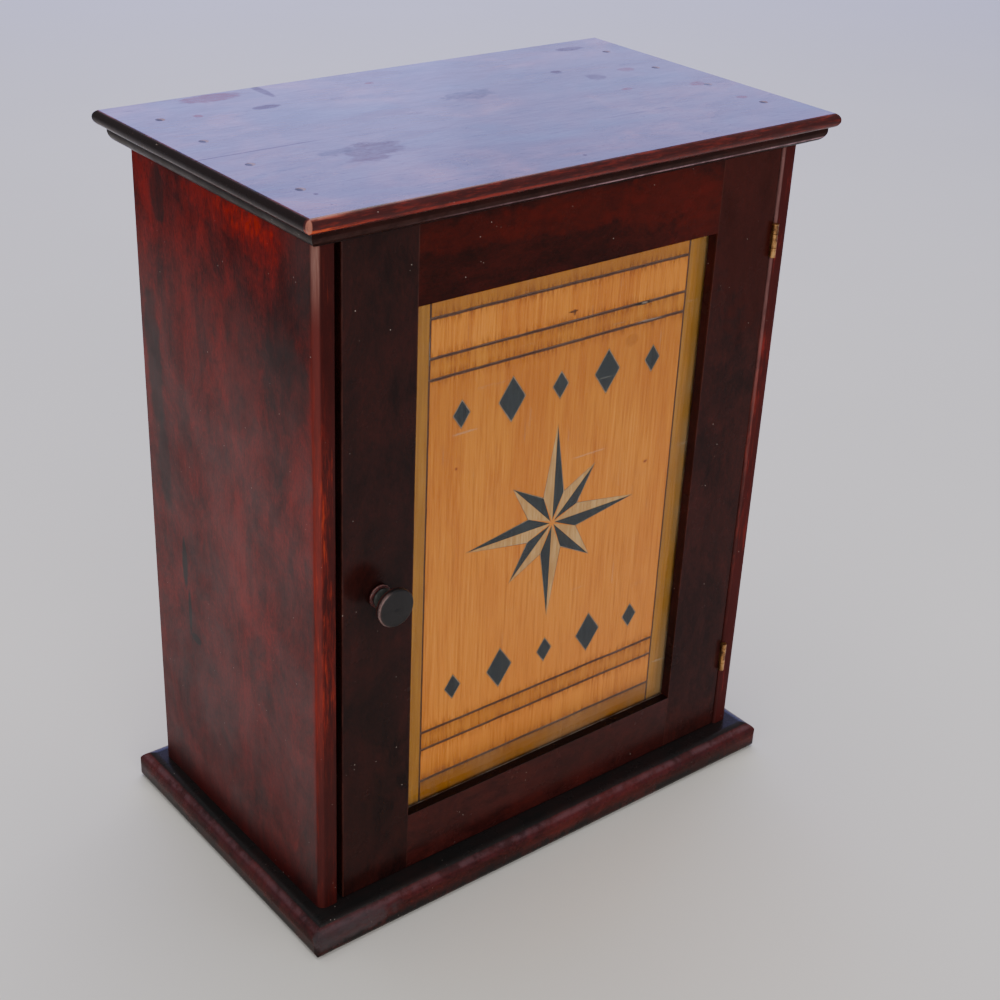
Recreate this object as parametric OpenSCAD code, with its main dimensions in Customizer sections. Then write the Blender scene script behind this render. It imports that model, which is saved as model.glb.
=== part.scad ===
// Counter cabinet for packets of dye: one glazed door with a wooden sign
// panel behind the glass, twenty-four pigeonholes inside, and a moulded top
// and base. Millimetres, +Z up, the door faces -Y, and the origin is on the
// floor under the middle of the top.

/* [Carcass] */
// Width over the two side panels
carcass_w = 324; // [290:1:360]
// Depth of the side panels
carcass_d = 177; // [165:1:200]
// Height of the whole cabinet
total_h = 432; // [415:1:470]
// Thickness of a side panel
side_t = 12; // [10.5:0.5:14]
// Radius of the outer front arris of a side panel
nose_r = 4.5; // [2:0.5:5]
// Radius of the inner front arris of a side panel
inner_nose_r = 2; // [1:0.5:3]
// Depth of the rail over the door
header_d = 16; // [12:1:20]

/* [Top board] */
// Thickness of the top board
top_t = 8; // [7:0.5:10]
// How far the top stands out past each side panel
top_side_over = 13.5; // [10:0.5:18]
// How far the top stands out past the front
top_front_over = 16.5; // [14:0.5:20]
// How far the top stands out past the back
top_back_over = 15.5; // [12:0.5:22]
// How far the rounded edge stands out from the flat of the top
top_bulge = 2.8; // [1.5:0.1:3]
// Share of the depth of the top that lies in front of its glue joint
top_joint_share = 0.49; // [0.46:0.01:0.54]

/* [Base board] */
// Thickness of the base board
base_t = 18.5; // [16:0.5:22]
// How far the base stands out past each side panel
base_side_over = 13; // [10:0.5:18]
// How far the base stands out past the front
base_front_over = 16.5; // [14:0.5:20]
// How far the base stands out past the back
base_back_over = 15.5; // [12:0.5:22]
// Radius of the upper edge of the base
base_round = 9; // [6:0.5:9.5]
// Radius of the lower edge of the base
base_foot_round = 4; // [1:0.5:5]
// Radius of the base's four corners seen from above
base_corner_r = 3.5; // [1:0.5:6]

/* [Bed mould] */
// Height of the mould under the top
mould_h = 9.5; // [9:0.5:12]
// How far the mould stands out past the sides and the back
mould_over = 8.7; // [7:0.1:9.5]
// How far the mould stands out past the front
mould_front_over = 12; // [10:0.5:13]
// Radius of the rounded lower edge of the mould
mould_round = 6.5; // [3:0.5:7]
// Height of the plain face above the rounded edge
mould_face = 2; // [1:0.5:2.5]
// How far the fillet below the rounded edge stands out
mould_fillet = 1.4; // [1:0.1:2]

/* [Back] */
// Thickness of the back boards
back_t = 9; // [7:0.5:11]
// Width of the rabbet that takes the back boards
back_lap = 6; // [4:0.5:7]
// How far a tongue reaches into the next back board
tongue_d = 4; // [3:0.5:5]
// Thickness of the tongues of the back boards
tongue_t = 3; // [2:0.5:4]
// Depth of the bead run beside each joint of the back boards
back_vee = 1.2; // [0.6:0.1:1.5]

/* [Pigeonholes] */
// Thickness of the shelves and dividers
crate_t = 5; // [4:0.5:6]
// Distance of their front edges from the front of the sides
crate_setback = 31.5; // [29:0.5:40]
// Depth of the grooves in the sides that hold the shelves
dado_d = 3; // [2:0.5:4]
// Clearance on each face where shelf and divider cross
crate_fit = 0.1; // [0.05:0.05:0.2]

/* [Door] */
// Thickness of the door frame
door_t = 16; // [15:0.5:18]
// Distance of the door face behind the front of the sides
door_setback = 1; // [0.5:0.1:1.5]
// Width of the two stiles
stile_w = 45; // [38:1:50]
// Height of the top rail
top_rail_h = 43.5; // [40:0.5:50]
// Height of the bottom rail
bottom_rail_h = 38; // [36:1:50]
// Gap beside the free edge of the door
free_gap = 3.7; // [3.5:0.1:5]
// Gap beside the hinged edge of the door
hinge_gap = 0.8; // [0.6:0.1:1]
// Gap over the door
door_top_gap = 0.9; // [0.5:0.1:1.5]
// Gap under the door
door_bottom_gap = 0.8; // [0.5:0.1:1.5]
// Thickness of the lip in front of the glass
lip_t = 6.4; // [5:0.2:7]
// Width of the rebate that holds the glass
rebate_w = 6; // [5:0.5:7]
// Length of the tenons on the rails
tenon_l = 20; // [15:1:24]
// Thickness of the tenons on the rails
tenon_t = 5; // [4:0.5:5.5]
// How far a tenon is set in from the edge of its rail
tenon_inset = 9; // [7:0.5:11]

/* [Glass and sign] */
// Thickness of the glass
glass_t = 2.2; // [2:0.1:2.4]
// Thickness of the sign panel
sign_t = 4.5; // [3.5:0.1:4.6]
// Clearance round the glass and the panel
pane_gap = 0.5; // [0.3:0.1:0.8]
// Width of the grooves cut in the panel
groove_w = 1.2; // [0.6:0.1:1.6]
// Depth of the grooves cut in the panel
groove_deep = 0.7; // [0.3:0.1:0.9]
// Distance of the upright grooves from the door opening
groove_margin = 14; // [8:0.5:18]
// Distance of the top groove from the door opening
head_margin = 12.5; // [8:0.5:20]
// Height of the plain band between the first two grooves
head_band = 22; // [15:0.5:30]
// Height of the dark strip over and under the main field
dark_strip = 12; // [8:0.5:16]
// Height of the plain band between the last two grooves
foot_band = 22; // [15:0.5:30]
// Distance of the bottom groove from the door opening
foot_margin = 12.5; // [8:0.5:20]
// Thickness of the inlaid veneer
inlay_t = 0.6; // [0.4:0.1:0.9]
// Reach of the long rays of the inlaid star
star_long = 62; // [40:1:66]
// Reach of the short rays of the inlaid star
star_short = 42; // [28:1:46]
// Distance from the middle of the star to where two rays meet
star_waist = 19; // [12:0.5:22]
// Height of the large lozenges over and under the star
lozenge_h = 26; // [16:1:30]
// Width of the large lozenges over and under the star
lozenge_w = 18; // [8:1:20]
// Size of the small lozenges as a share of the large ones
lozenge_share = 0.6; // [0.4:0.05:0.8]

/* [Hinges] */
// Height of a hinge
hinge_h = 20; // [18:1:26]
// Width of a hinge leaf from the pin
leaf_w = 12; // [10:0.5:13]
// Thickness of a hinge leaf
leaf_t = 0.9; // [0.8:0.1:1.2]
// Outer radius of a hinge knuckle
knuckle_r = 1.8; // [1.8:0.1:2.2]
// Radius of a hinge pin
pin_r = 0.8; // [0.8:0.1:1.1]
// Running clearance round a hinge pin
pin_fit = 0.05; // [0.03:0.01:0.08]
// Distance of the pin in front of the side panels
pin_proud = 0.8; // [0.6:0.1:1.4]
// Distance of the upper hinge from the top of the door
upper_hinge_down = 55.5; // [50:0.5:70]
// Distance of the lower hinge from the bottom of the door
lower_hinge_up = 53.5; // [45:0.5:70]

/* [Knob and latch] */
// Radius of the face of the knob
knob_r = 11; // [9:0.5:13]
// How far the knob stands out from the door
knob_reach = 17.5; // [14:0.5:17.5]
// Thickness of the head of the knob
knob_head_t = 5; // [4.5:0.1:6]
// Radius of the neck of the knob
knob_neck_r = 4.6; // [4.2:0.1:5.2]
// Radius of the bead round the foot of the knob
knob_foot_r = 6.7; // [6.4:0.1:7.5]
// Height of the knob from the bottom of the door
knob_up = 194.3; // [150:0.1:240]
// Radius of the stem that runs through the stile
stem_r = 3; // [2.6:0.1:3.4]
// Running clearance round the stem
stem_fit = 0.06; // [0.04:0.01:0.09]
// Reach of the latch tongue from the stem
latch_reach = 24; // [23:0.5:25]
// Width of the latch tongue
latch_w = 9; // [7:0.5:11]
// Thickness of the latch tongue
latch_t = 5; // [4:0.5:6]
// Radius of the hub of the latch
hub_r = 8; // [6:0.5:9]
// Width of the strip that stops the door
stop_w = 8; // [7:0.5:9]
// Thickness of the strip that stops the door
stop_t = 3.5; // [3:0.5:4.5]

/* [Nails and screws] */
// Number of screws through the top into each side panel
top_screws_a_side = 4; // [2:2:6]
// Distance of the first screw from the front of the side panel
front_screw_in = 23.4; // [15:0.1:28]
// Distance of the last screw from the rear of the side panel
rear_screw_in = 19.6; // [14:0.1:28]
// How far the heads of the screws lie inside the base
base_screw_sunk = 0.4; // [0.2:0.1:1]
// Radius of the plugs over the screws
plug_r = 2.6; // [2.5:0.1:4]
// Depth of the plugs over the screws
plug_d = 2.5; // [1.5:0.5:3]
// Radius of a wood screw under its head
screw_r = 1.5; // [1.2:0.1:2]
// Radius of a wood screw's head
screw_head_r = 2.3; // [2.2:0.1:2.5]
// Length of the wood screws
screw_l = 26; // [20:1:30]
// Radius of a hinge screw under its head
hinge_screw_r = 0.9; // [0.7:0.1:1]
// Radius of a hinge screw's head
hinge_screw_head_r = 1.8; // [1.5:0.1:2]
// Length of the hinge screws
hinge_screw_l = 8; // [6:0.5:9]
// Radius of the brads
brad_r = 0.6; // [0.4:0.1:0.8]
// Length of the brads
brad_l = 11; // [9:0.5:14]
// Clearance round nails, screws and plugs
fastener_fit = 0.03; // [0.02:0.01:0.05]

/* [Hidden] */
$fn = 48;

// Colours
mahogany = "#4a1512";
dark_mahogany = "#2a0f10";
top_wood = "#3b1a22";
poplar = "#8a6a48";
amber = "#b9772c";
brass = "#b08d4a";
steel = "#6b6862";
slate = "#1f2224";
holly = "#c9a873";

// A hair added to cutting solids so that they pass through a face
cut = 0.5;

// Carcass
side_out = carcass_w / 2;
side_in = side_out - side_t;
carcass_front = -(carcass_d + top_front_over + top_back_over) / 2 + top_front_over;
carcass_back = carcass_front + carcass_d;
top_under = total_h - top_t;
mould_under = top_under - mould_h;
screw_inset = 8;
screw_x = side_out - screw_inset;
top_screw_pitch = (carcass_d - front_screw_in - rear_screw_in) / (top_screws_a_side - 1);
rear_arris_r = 1;

// Pigeonholes
shelf_count = 5;
divider_count = 3;
back_face = carcass_back - back_t;
crate_front = carcass_front + crate_setback;
crate_rear = back_face - crate_fit;
crate_middle = (crate_front + crate_rear) / 2;
row_h = (top_under - base_t - shelf_count * crate_t) / (shelf_count + 1);
column_w = (2 * side_in - divider_count * crate_t) / (divider_count + 1);

// Door
door_left = -side_in + free_gap;
door_right = side_in - hinge_gap;
door_low = base_t + door_bottom_gap;
door_high = mould_under - door_top_gap;
door_face = carcass_front + door_setback;
door_rear = door_face + door_t;
opening_left = door_left + stile_w;
opening_right = door_right - stile_w;
opening_low = door_low + bottom_rail_h;
opening_high = door_high - top_rail_h;
opening_mid = (opening_left + opening_right) / 2;
glass_front = door_face + lip_t;
sign_front = glass_front + glass_t;
bead_front = sign_front + sign_t;
bead_in = 0.5;
bead_w = rebate_w - bead_in;
door_arris_r = 0.8;
mortise_fit = 0.2;
bottom_tenon_drop = 2;
bottom_tenon_inset = tenon_inset - bottom_tenon_drop;

// Sign panel
groove_left = opening_left + groove_margin;
groove_right_shift = 2;
groove_right = opening_right - groove_margin + groove_right_shift;
groove_1 = opening_high - head_margin;
groove_2 = groove_1 - head_band;
groove_3 = groove_2 - dark_strip;
groove_6 = opening_low + foot_margin;
groove_5 = groove_6 + foot_band;
groove_4 = groove_5 + dark_strip;
field_mid_x = (groove_left + groove_right) / 2;
field_mid_z = (groove_3 + groove_4) / 2;
lozenge_margin = 11;
lozenge_row = (groove_3 - groove_4) / 2 - lozenge_h / 2 - lozenge_margin;
lozenge_pitch = 34;
lozenge_count = 5;
ray_count = 8;
star_eye = 1.5;
inlay_fit = 0.05;

// Hinges
pin_x = door_right + hinge_gap / 2;
pin_y = carcass_front - pin_proud;
upper_hinge_z = door_high - upper_hinge_down;
lower_hinge_z = door_low + lower_hinge_up;
knuckle_gap = 0.15;
knuckle_room = 0.35;
middle_knuckle_share = 0.42;
hinge_screw_in = 0.62;
hinge_screw_apart = 0.3;
middle_knuckle = hinge_h * middle_knuckle_share;
hinge_screw_y = pin_y + leaf_w * hinge_screw_in;
hinge_screw_z = hinge_h * hinge_screw_apart;
hinge_screw_cone = 0.9;

// Knob and latch
knob_x = door_left + stile_w / 2;
knob_z = door_low + knob_up;
latch_gap = 0.3;
knob_bead_r = 1.5;
knob_fillet_h = 0.7;
knob_fillet_r = (knob_foot_r + knob_neck_r) / 2;
knob_cove_share = 0.35;
knob_back_r = 2.2;
knob_edge_r = 1.1;
knob_dome = 0.25;
stem_short = 0.2;
stem_root = latch_gap + knob_bead_r;
stop_gap = 0.5;
stop_front = door_rear + stop_gap;
stop_rear = stop_front + stop_t;
latch_front = stop_rear + latch_gap;
latch_rear = latch_front + latch_t;
latch_hub_front = door_rear + latch_gap;
latch_head_r = 3.2;
latch_head_t = 1.6;
latch_screw_r = 1;
latch_screw_l = 10;

// Fasteners, a slot's width as a share of the head's radius
slot_w = 0.32;
screw_tip = 2.5;
screw_point = 0.15;
slot_depth = 0.5;
screw_cone = 1.6;
brad_head_r = 1;
nail_r = 0.8;
nail_head_r = 1.6;
nail_l = 22;
nails_a_side = 4;
nail_x = side_in + back_lap / 2;
nail_from_end = 32;
nail_pitch = (top_under - base_t - 2 * nail_from_end) / (nails_a_side - 1);
board_split = (side_in + back_lap) / 3;
middle_nail_share = 0.6;
bead_brads_tall = 3;
bead_brads_wide = 2;
stop_brad_count = 4;

function shelf_z(i) = base_t + i * row_h + (i - 1) * crate_t;
function divider_x(i) = -side_in + i * column_w + (i - 0.5) * crate_t;
function top_screw_y(i) = carcass_front + front_screw_in + i * top_screw_pitch;
function nail_z(i) = base_t + nail_from_end + i * nail_pitch;
function stop_brad_z(i) = base_t + (i + 0.5) * (mould_under - base_t) / stop_brad_count;

// What is cut away to round the corner at x, y whose solid lies towards dx, dy
module corner_off(x, y, dx, dy, r) {
    difference() {
        translate([dx > 0 ? x - cut : x - r, dy > 0 ? y - cut : y - r]) square(r + cut);
        translate([x + dx * r, y + dy * r]) circle(r = r);
    }
}

// A wood screw that points down from its flush head at z = 0
module wood_screw(head_r, cone_h, shank_r, long, grow = 0) {
    tip = screw_tip * shank_r;
    point_r = screw_point * shank_r;
    translate([0, 0, -cone_h]) cylinder(h = cone_h, r1 = shank_r + grow, r2 = head_r + grow);
    translate([0, 0, tip - long]) cylinder(h = long - tip - cone_h, r = shank_r + grow);
    translate([0, 0, -long - grow]) cylinder(h = tip + grow, r1 = point_r + grow, r2 = shank_r + grow);
}

// What is cut from the top of a screw's head for its slot
module head_slot(head_r, deep) {
    translate([-head_r - cut, -slot_w * head_r / 2, -deep])
        cube([2 * (head_r + cut), slot_w * head_r, deep + cut]);
}

// A wood screw with its slot
module slotted_screw(head_r, cone_h, shank_r, long) {
    difference() {
        wood_screw(head_r, cone_h, shank_r, long);
        head_slot(head_r, cone_h * slot_depth);
    }
}

// A round nail that points down from its head at z = 0
module nail(head_r, shank_r, long, grow = 0) {
    head_t = 0.6;
    translate([0, 0, -head_t - grow]) cylinder(h = head_t + 2 * grow, r = head_r + grow);
    translate([0, 0, -long - grow]) cylinder(h = long + grow, r = shank_r + grow);
}

// Screws through the top into the sides, sunk under their plugs
module each_top_screw() {
    for (s = [-1, 1], i = [0 : top_screws_a_side - 1])
        translate([s * screw_x, top_screw_y(i), total_h - plug_d]) children();
}

// Screws up through the base into the sides, a little below the surface
module each_base_screw() {
    for (s = [-1, 1], i = [0 : top_screws_a_side - 1])
        translate([s * screw_x, top_screw_y(i), base_screw_sunk]) rotate([180, 0, 0]) children();
}

// Nails through the back boards into the shoulders of the side rabbets
module each_back_nail() {
    for (s = [-1, 1], i = [0 : nails_a_side - 1])
        translate([s * nail_x, carcass_back, nail_z(i)]) rotate([-90, 0, 0]) children();
    for (s = [-1, 1], i = [1, 3, 5])
        translate([s * board_split * middle_nail_share, carcass_back, shelf_z(i) + crate_t / 2])
            rotate([-90, 0, 0]) children();
}

// Brads through the door stop into the left side
module each_stop_brad() {
    for (i = [0 : stop_brad_count - 1])
        translate([-side_in + stop_w, (stop_front + stop_rear) / 2, stop_brad_z(i)])
            rotate([0, 90, 0]) children();
}

// Brads through the glazing beads into the frame of the door
module each_bead_brad() {
    y = (bead_front + door_rear) / 2;
    inner = opening_right + rebate_w - pane_gap / 2;
    for (i = [0 : bead_brads_tall - 1]) {
        z = opening_low + (i + 0.5) * (opening_high - opening_low) / bead_brads_tall;
        translate([opening_left - rebate_w + bead_w, y, z]) rotate([0, 90, 0]) children();
        translate([opening_right + rebate_w - bead_w, y, z]) rotate([0, -90, 0]) children();
    }
    for (i = [0 : bead_brads_wide - 1]) {
        x = opening_left + (i + 0.5) * (opening_right - opening_left) / bead_brads_wide;
        translate([x, y, opening_low - rebate_w + bead_w]) children();
        translate([x, y, opening_high + rebate_w - bead_w]) rotate([180, 0, 0]) children();
    }
}

// The two screws of each hinge leaf, seen from the joint between the leaves
module each_hinge_screw(x, turn) {
    for (z = [upper_hinge_z, lower_hinge_z], s = [-1, 1])
        translate([x, hinge_screw_y, z + s * hinge_screw_z]) rotate([0, turn, 0]) children();
}

// A board with the same edge run round all four sides, mitred at its corners
module moulded_board(half_x, front, rear, low) {
    intersection() {
        translate([0, rear + cut, low]) rotate([90, 0, 0])
            linear_extrude(rear - front + 2 * cut) children(0);
        translate([-half_x - cut, 0, low]) rotate([90, 0, 90])
            linear_extrude(2 * half_x + 2 * cut) children(1);
    }
}

// Section of the base between two outer faces
module base_section(a, b) {
    difference() {
        translate([a, 0]) square([b - a, base_t]);
        corner_off(a, base_t, 1, -1, base_round);
        corner_off(b, base_t, -1, -1, base_round);
        corner_off(a, 0, 1, 1, base_foot_round);
        corner_off(b, 0, -1, 1, base_foot_round);
    }
}

// Plan of the base with its rounded corners
module base_plan(half, front, rear) {
    difference() {
        translate([-half, front]) square([2 * half, rear - front]);
        for (s = [-1, 1]) {
            corner_off(s * half, front, -s, 1, base_corner_r);
            corner_off(s * half, rear, -s, -1, base_corner_r);
        }
    }
}

module base_board() {
    half = side_out + base_side_over;
    front = carcass_front - base_front_over;
    rear = carcass_back + base_back_over;
    color(mahogany) difference() {
        intersection() {
            moulded_board(half, front, rear, 0) {
                base_section(-half, half);
                base_section(front, rear);
            }
            translate([0, 0, -cut]) linear_extrude(base_t + 2 * cut) base_plan(half, front, rear);
        }
        each_base_screw() {
            wood_screw(screw_head_r, screw_cone, screw_r, screw_l, fastener_fit);
        }
        each_base_screw() cylinder(h = base_screw_sunk + cut, r = screw_head_r + fastener_fit);
    }
}

// Plan of a side panel, its outer face towards +X
module side_plan() {
    difference() {
        translate([side_in, carcass_front]) square([side_t, carcass_d]);
        translate([side_in - cut, back_face]) square([back_lap + cut, back_t + cut]);
        corner_off(side_out, carcass_front, -1, 1, nose_r);
        corner_off(side_in, carcass_front, 1, 1, inner_nose_r);
        corner_off(side_out, carcass_back, -1, -1, rear_arris_r);
    }
}

// A side panel with its stopped grooves for the shelves, on the +X side
module side_blank() {
    difference() {
        translate([0, 0, base_t]) linear_extrude(top_under - base_t) side_plan();
        for (i = [1 : shelf_count])
            translate([side_in - cut, crate_front - crate_fit, shelf_z(i) - crate_fit])
                cube([dado_d + cut, back_face - crate_front + crate_fit + cut, crate_t + 2 * crate_fit]);
    }
}

module side_holes() {
    each_top_screw() wood_screw(screw_head_r, screw_cone, screw_r, screw_l, fastener_fit);
    each_base_screw() wood_screw(screw_head_r, screw_cone, screw_r, screw_l, fastener_fit);
    each_back_nail() nail(nail_head_r, nail_r, nail_l, fastener_fit);
}

module side_left() {
    color(mahogany) difference() {
        mirror([1, 0, 0]) side_blank();
        side_holes();
        each_stop_brad() brad(fastener_fit);
    }
}

module side_right() {
    color(mahogany) difference() {
        side_blank();
        side_holes();
        for (z = [upper_hinge_z, lower_hinge_z]) {
            translate([side_in - cut, pin_y, z - hinge_h / 2])
                cube([leaf_t + cut, leaf_w, hinge_h]);
            knuckle_pocket(z);
        }
        each_hinge_screw(side_in, -90) hinge_screw(fastener_fit);
    }
}

// Rail under the top that carries the mould over the door
module header_rail() {
    color(mahogany)
        translate([-side_in, carcass_front, mould_under]) cube([2 * side_in, header_d, mould_h]);
}

// Section of the top between two outer faces, its rounded edges included
module top_section(a, b) {
    half_t = top_t / 2;
    edge_r = (half_t * half_t + top_bulge * top_bulge) / (2 * top_bulge);
    translate([a + top_bulge, 0]) square([b - a - 2 * top_bulge, top_t]);
    intersection() {
        translate([a, 0]) square([top_bulge + cut, top_t]);
        translate([a + edge_r, half_t]) circle(r = edge_r);
    }
    intersection() {
        translate([b - top_bulge - cut, 0]) square([top_bulge + cut, top_t]);
        translate([b - edge_r, half_t]) circle(r = edge_r);
    }
}

module top_blank() {
    half = side_out + top_side_over;
    front = carcass_front - top_front_over;
    rear = carcass_back + top_back_over;
    difference() {
        moulded_board(half, front, rear, top_under) {
            top_section(-half, half);
            top_section(front, rear);
        }
        each_top_screw() {
            wood_screw(screw_head_r, screw_cone, screw_r, screw_l, fastener_fit);
        }
        each_top_screw() cylinder(h = plug_d + cut, r = plug_r);
    }
}

// The part of the top on one side of its glue joint
module top_half(from_front) {
    joint = carcass_front - top_front_over + top_joint_share * (carcass_d + top_front_over + top_back_over);
    far = carcass_w + carcass_d;
    intersection() {
        top_blank();
        translate([-far, from_front ? joint - far : joint, top_under - cut])
            cube([2 * far, far, top_t + 2 * cut]);
    }
}

module top_board_front() {
    color(top_wood) top_half(true);
}

module top_board_rear() {
    color(top_wood) top_half(false);
}

// Section of the bed mould: x is how far it stands out, y is the height
module mould_section(out) {
    step = mould_face + mould_round;
    difference() {
        translate([-cut, mould_h - step]) square([out + cut, step]);
        corner_off(out, mould_h - step, -1, 1, mould_round);
    }
    translate([-cut, 0]) square([mould_fillet + cut, mould_h]);
}

// The mould as it would run right round the carcass
module mould_ring() {
    half = side_out + mould_over;
    front = carcass_front - mould_front_over;
    rear = carcass_back + mould_over;
    difference() {
        moulded_board(half, front, rear, mould_under) {
            union() {
                translate([side_out, 0]) mould_section(mould_over);
                translate([-side_out, 0]) mirror([1, 0]) mould_section(mould_over);
                translate([-side_out, 0]) square([carcass_w, mould_h]);
            }
            union() {
                translate([carcass_back, 0]) mould_section(mould_over);
                translate([front + mould_over, 0]) mirror([1, 0]) mould_section(mould_over);
                translate([front + mould_over, 0]) square([carcass_back - front - mould_over, mould_h]);
            }
        }
        translate([-side_out, carcass_front, mould_under - cut])
            cube([carcass_w, carcass_d, mould_h + 2 * cut]);
    }
}

// Wedges in plan that part the ring along its mitres
module mould_mitre(front_piece, rear_piece) {
    half = side_out + mould_over;
    front = carcass_front - mould_front_over;
    rear = carcass_back + mould_over;
    translate([0, 0, mould_under - cut]) linear_extrude(mould_h + 2 * cut) {
        if (front_piece)
            polygon([[-half - cut, front - cut], [half + cut, front - cut],
                [half - mould_over, front + mould_over], [half - mould_over, carcass_front + cut],
                [mould_over - half, carcass_front + cut], [mould_over - half, front + mould_over]]);
        if (rear_piece)
            polygon([[-half - cut, rear + cut], [half + cut, rear + cut],
                [half - mould_over, rear - mould_over], [mould_over - half, rear - mould_over]]);
    }
}

module bed_mould_front() {
    color(mahogany) intersection() {
        mould_ring();
        mould_mitre(true, false);
    }
}

module bed_mould_rear() {
    color(mahogany) intersection() {
        mould_ring();
        mould_mitre(false, true);
    }
}

module mould_side() {
    intersection() {
        difference() {
            mould_ring();
            mould_mitre(true, true);
        }
        translate([side_out, carcass_front - mould_front_over - cut, mould_under - cut])
            cube([mould_over + cut, carcass_d + mould_over + mould_front_over + 2 * cut, mould_h + 2 * cut]);
    }
}

module bed_mould_right() {
    color(mahogany) mould_side();
}

module bed_mould_left() {
    color(mahogany) mirror([1, 0, 0]) mould_side();
}

// A back board from x = a to x = b, with a groove at a, a tongue at b, or neither
module back_board(a, b, groove, tongue) {
    mid = back_face + back_t / 2;
    color(poplar) difference() {
        translate([0, 0, base_t]) linear_extrude(top_under - base_t) difference() {
            union() {
                translate([a, back_face]) square([b - a, back_t]);
                if (tongue) translate([b - cut, mid - tongue_t / 2]) square([tongue_d + cut, tongue_t]);
            }
            if (groove)
                translate([a - cut, mid - tongue_t / 2 - crate_fit])
                    square([tongue_d + crate_fit + cut, tongue_t + 2 * crate_fit]);
            if (groove)
                translate([a, carcass_back]) rotate(45) square(back_vee * sqrt(2), center = true);
            if (tongue)
                translate([b, carcass_back]) rotate(45) square(back_vee * sqrt(2), center = true);
        }
        each_back_nail() nail(nail_head_r, nail_r, nail_l, fastener_fit);
    }
}

module back_board_left() {
    back_board(-side_in - back_lap + crate_fit, -board_split, false, true);
}

module back_board_middle() {
    back_board(-board_split, board_split, true, true);
}

module back_board_right() {
    back_board(board_split, side_in + back_lap - crate_fit, true, false);
}

// Shelf number i from the bottom, slotted from behind for the dividers
module shelf(i) {
    half = side_in + dado_d - crate_fit;
    color(poplar) difference() {
        translate([-half, crate_front, shelf_z(i)]) cube([2 * half, crate_rear - crate_front, crate_t]);
        for (k = [1 : divider_count])
            translate([divider_x(k) - crate_t / 2 - crate_fit, crate_middle - crate_fit, shelf_z(i) - cut])
                cube([crate_t + 2 * crate_fit, carcass_d, crate_t + 2 * cut]);
        each_back_nail() nail(nail_head_r, nail_r, nail_l, fastener_fit);
    }
}

module shelf_1() {
    shelf(1);
}

module shelf_2() {
    shelf(2);
}

module shelf_3() {
    shelf(3);
}

module shelf_4() {
    shelf(4);
}

module shelf_5() {
    shelf(5);
}

// Divider number i from the left, slotted from the front for the shelves
module divider(i) {
    color(poplar) difference() {
        translate([divider_x(i) - crate_t / 2, crate_front, base_t])
            cube([crate_t, crate_rear - crate_front, top_under - base_t]);
        for (k = [1 : shelf_count])
            translate([divider_x(i) - crate_t, crate_front - cut, shelf_z(k) - crate_fit])
                cube([2 * crate_t, crate_middle - crate_front + cut, crate_t + 2 * crate_fit]);
    }
}

module divider_left() {
    divider(1);
}

module divider_middle() {
    divider(2);
}

module divider_right() {
    divider(3);
}

module brad(grow = 0) {
    nail(brad_head_r, brad_r, brad_l, grow);
}

module door_stop() {
    color(mahogany) difference() {
        translate([-side_in, stop_front, base_t]) cube([stop_w, stop_t, mould_under - base_t]);
        each_stop_brad() brad(fastener_fit);
    }
}

module stop_brads() {
    color(steel) each_stop_brad() brad();
}

module top_screws() {
    color(steel) each_top_screw() slotted_screw(screw_head_r, screw_cone, screw_r, screw_l);
}

module top_plugs() {
    color(dark_mahogany) each_top_screw() cylinder(h = plug_d, r = plug_r - fastener_fit);
}

module base_screws() {
    color(steel) each_base_screw() slotted_screw(screw_head_r, screw_cone, screw_r, screw_l);
}

module back_nails() {
    color(steel) each_back_nail() nail(nail_head_r, nail_r, nail_l);
}

// Room cut round the knuckles in the side and in the stile
module knuckle_pocket(z) {
    translate([pin_x, pin_y, z - hinge_h / 2]) cylinder(h = hinge_h, r = knuckle_r + knuckle_room);
}

// A hinge leaf round the pin; side is 1 on the carcass and -1 on the door
module hinge_leaf(z, side) {
    bore = side > 0 ? pin_r + pin_fit / 2 : pin_r + pin_fit;
    x = side > 0 ? side_in : door_right - leaf_t;
    room = middle_knuckle / 2 + (side > 0 ? knuckle_gap : -knuckle_gap);
    color(brass) translate([0, 0, z]) difference() {
        union() {
            translate([x, pin_y, -hinge_h / 2]) cube([leaf_t, leaf_w, hinge_h]);
            translate([pin_x, pin_y, -hinge_h / 2]) cylinder(h = hinge_h, r = knuckle_r);
        }
        if (side > 0) {
            translate([pin_x, pin_y, -room]) cylinder(h = 2 * room, r = knuckle_r + knuckle_room);
        } else {
            for (s = [-1, 1])
                translate([pin_x, pin_y, s * (room + hinge_h / 2) - hinge_h / 2])
                    cylinder(h = hinge_h, r = knuckle_r + knuckle_room);
        }
        translate([pin_x, pin_y, -hinge_h]) cylinder(h = 2 * hinge_h, r = bore);
        translate([0, 0, -z]) each_hinge_screw(side > 0 ? side_in : door_right, side > 0 ? -90 : 90)
            hinge_screw(fastener_fit);
    }
}

module hinge_screw(grow = 0) {
    wood_screw(hinge_screw_head_r, hinge_screw_cone, hinge_screw_r, hinge_screw_l, grow);
}

module slotted_hinge_screw() {
    slotted_screw(hinge_screw_head_r, hinge_screw_cone, hinge_screw_r, hinge_screw_l);
}

module hinge_leaf_side_upper() {
    hinge_leaf(upper_hinge_z, 1);
}

module hinge_leaf_side_lower() {
    hinge_leaf(lower_hinge_z, 1);
}

module hinge_leaf_door_upper() {
    hinge_leaf(upper_hinge_z, -1);
}

module hinge_leaf_door_lower() {
    hinge_leaf(lower_hinge_z, -1);
}

module hinge_pin(z) {
    color(brass) translate([pin_x, pin_y, z - hinge_h / 2]) cylinder(h = hinge_h, r = pin_r);
}

module hinge_pin_upper() {
    hinge_pin(upper_hinge_z);
}

module hinge_pin_lower() {
    hinge_pin(lower_hinge_z);
}

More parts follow.
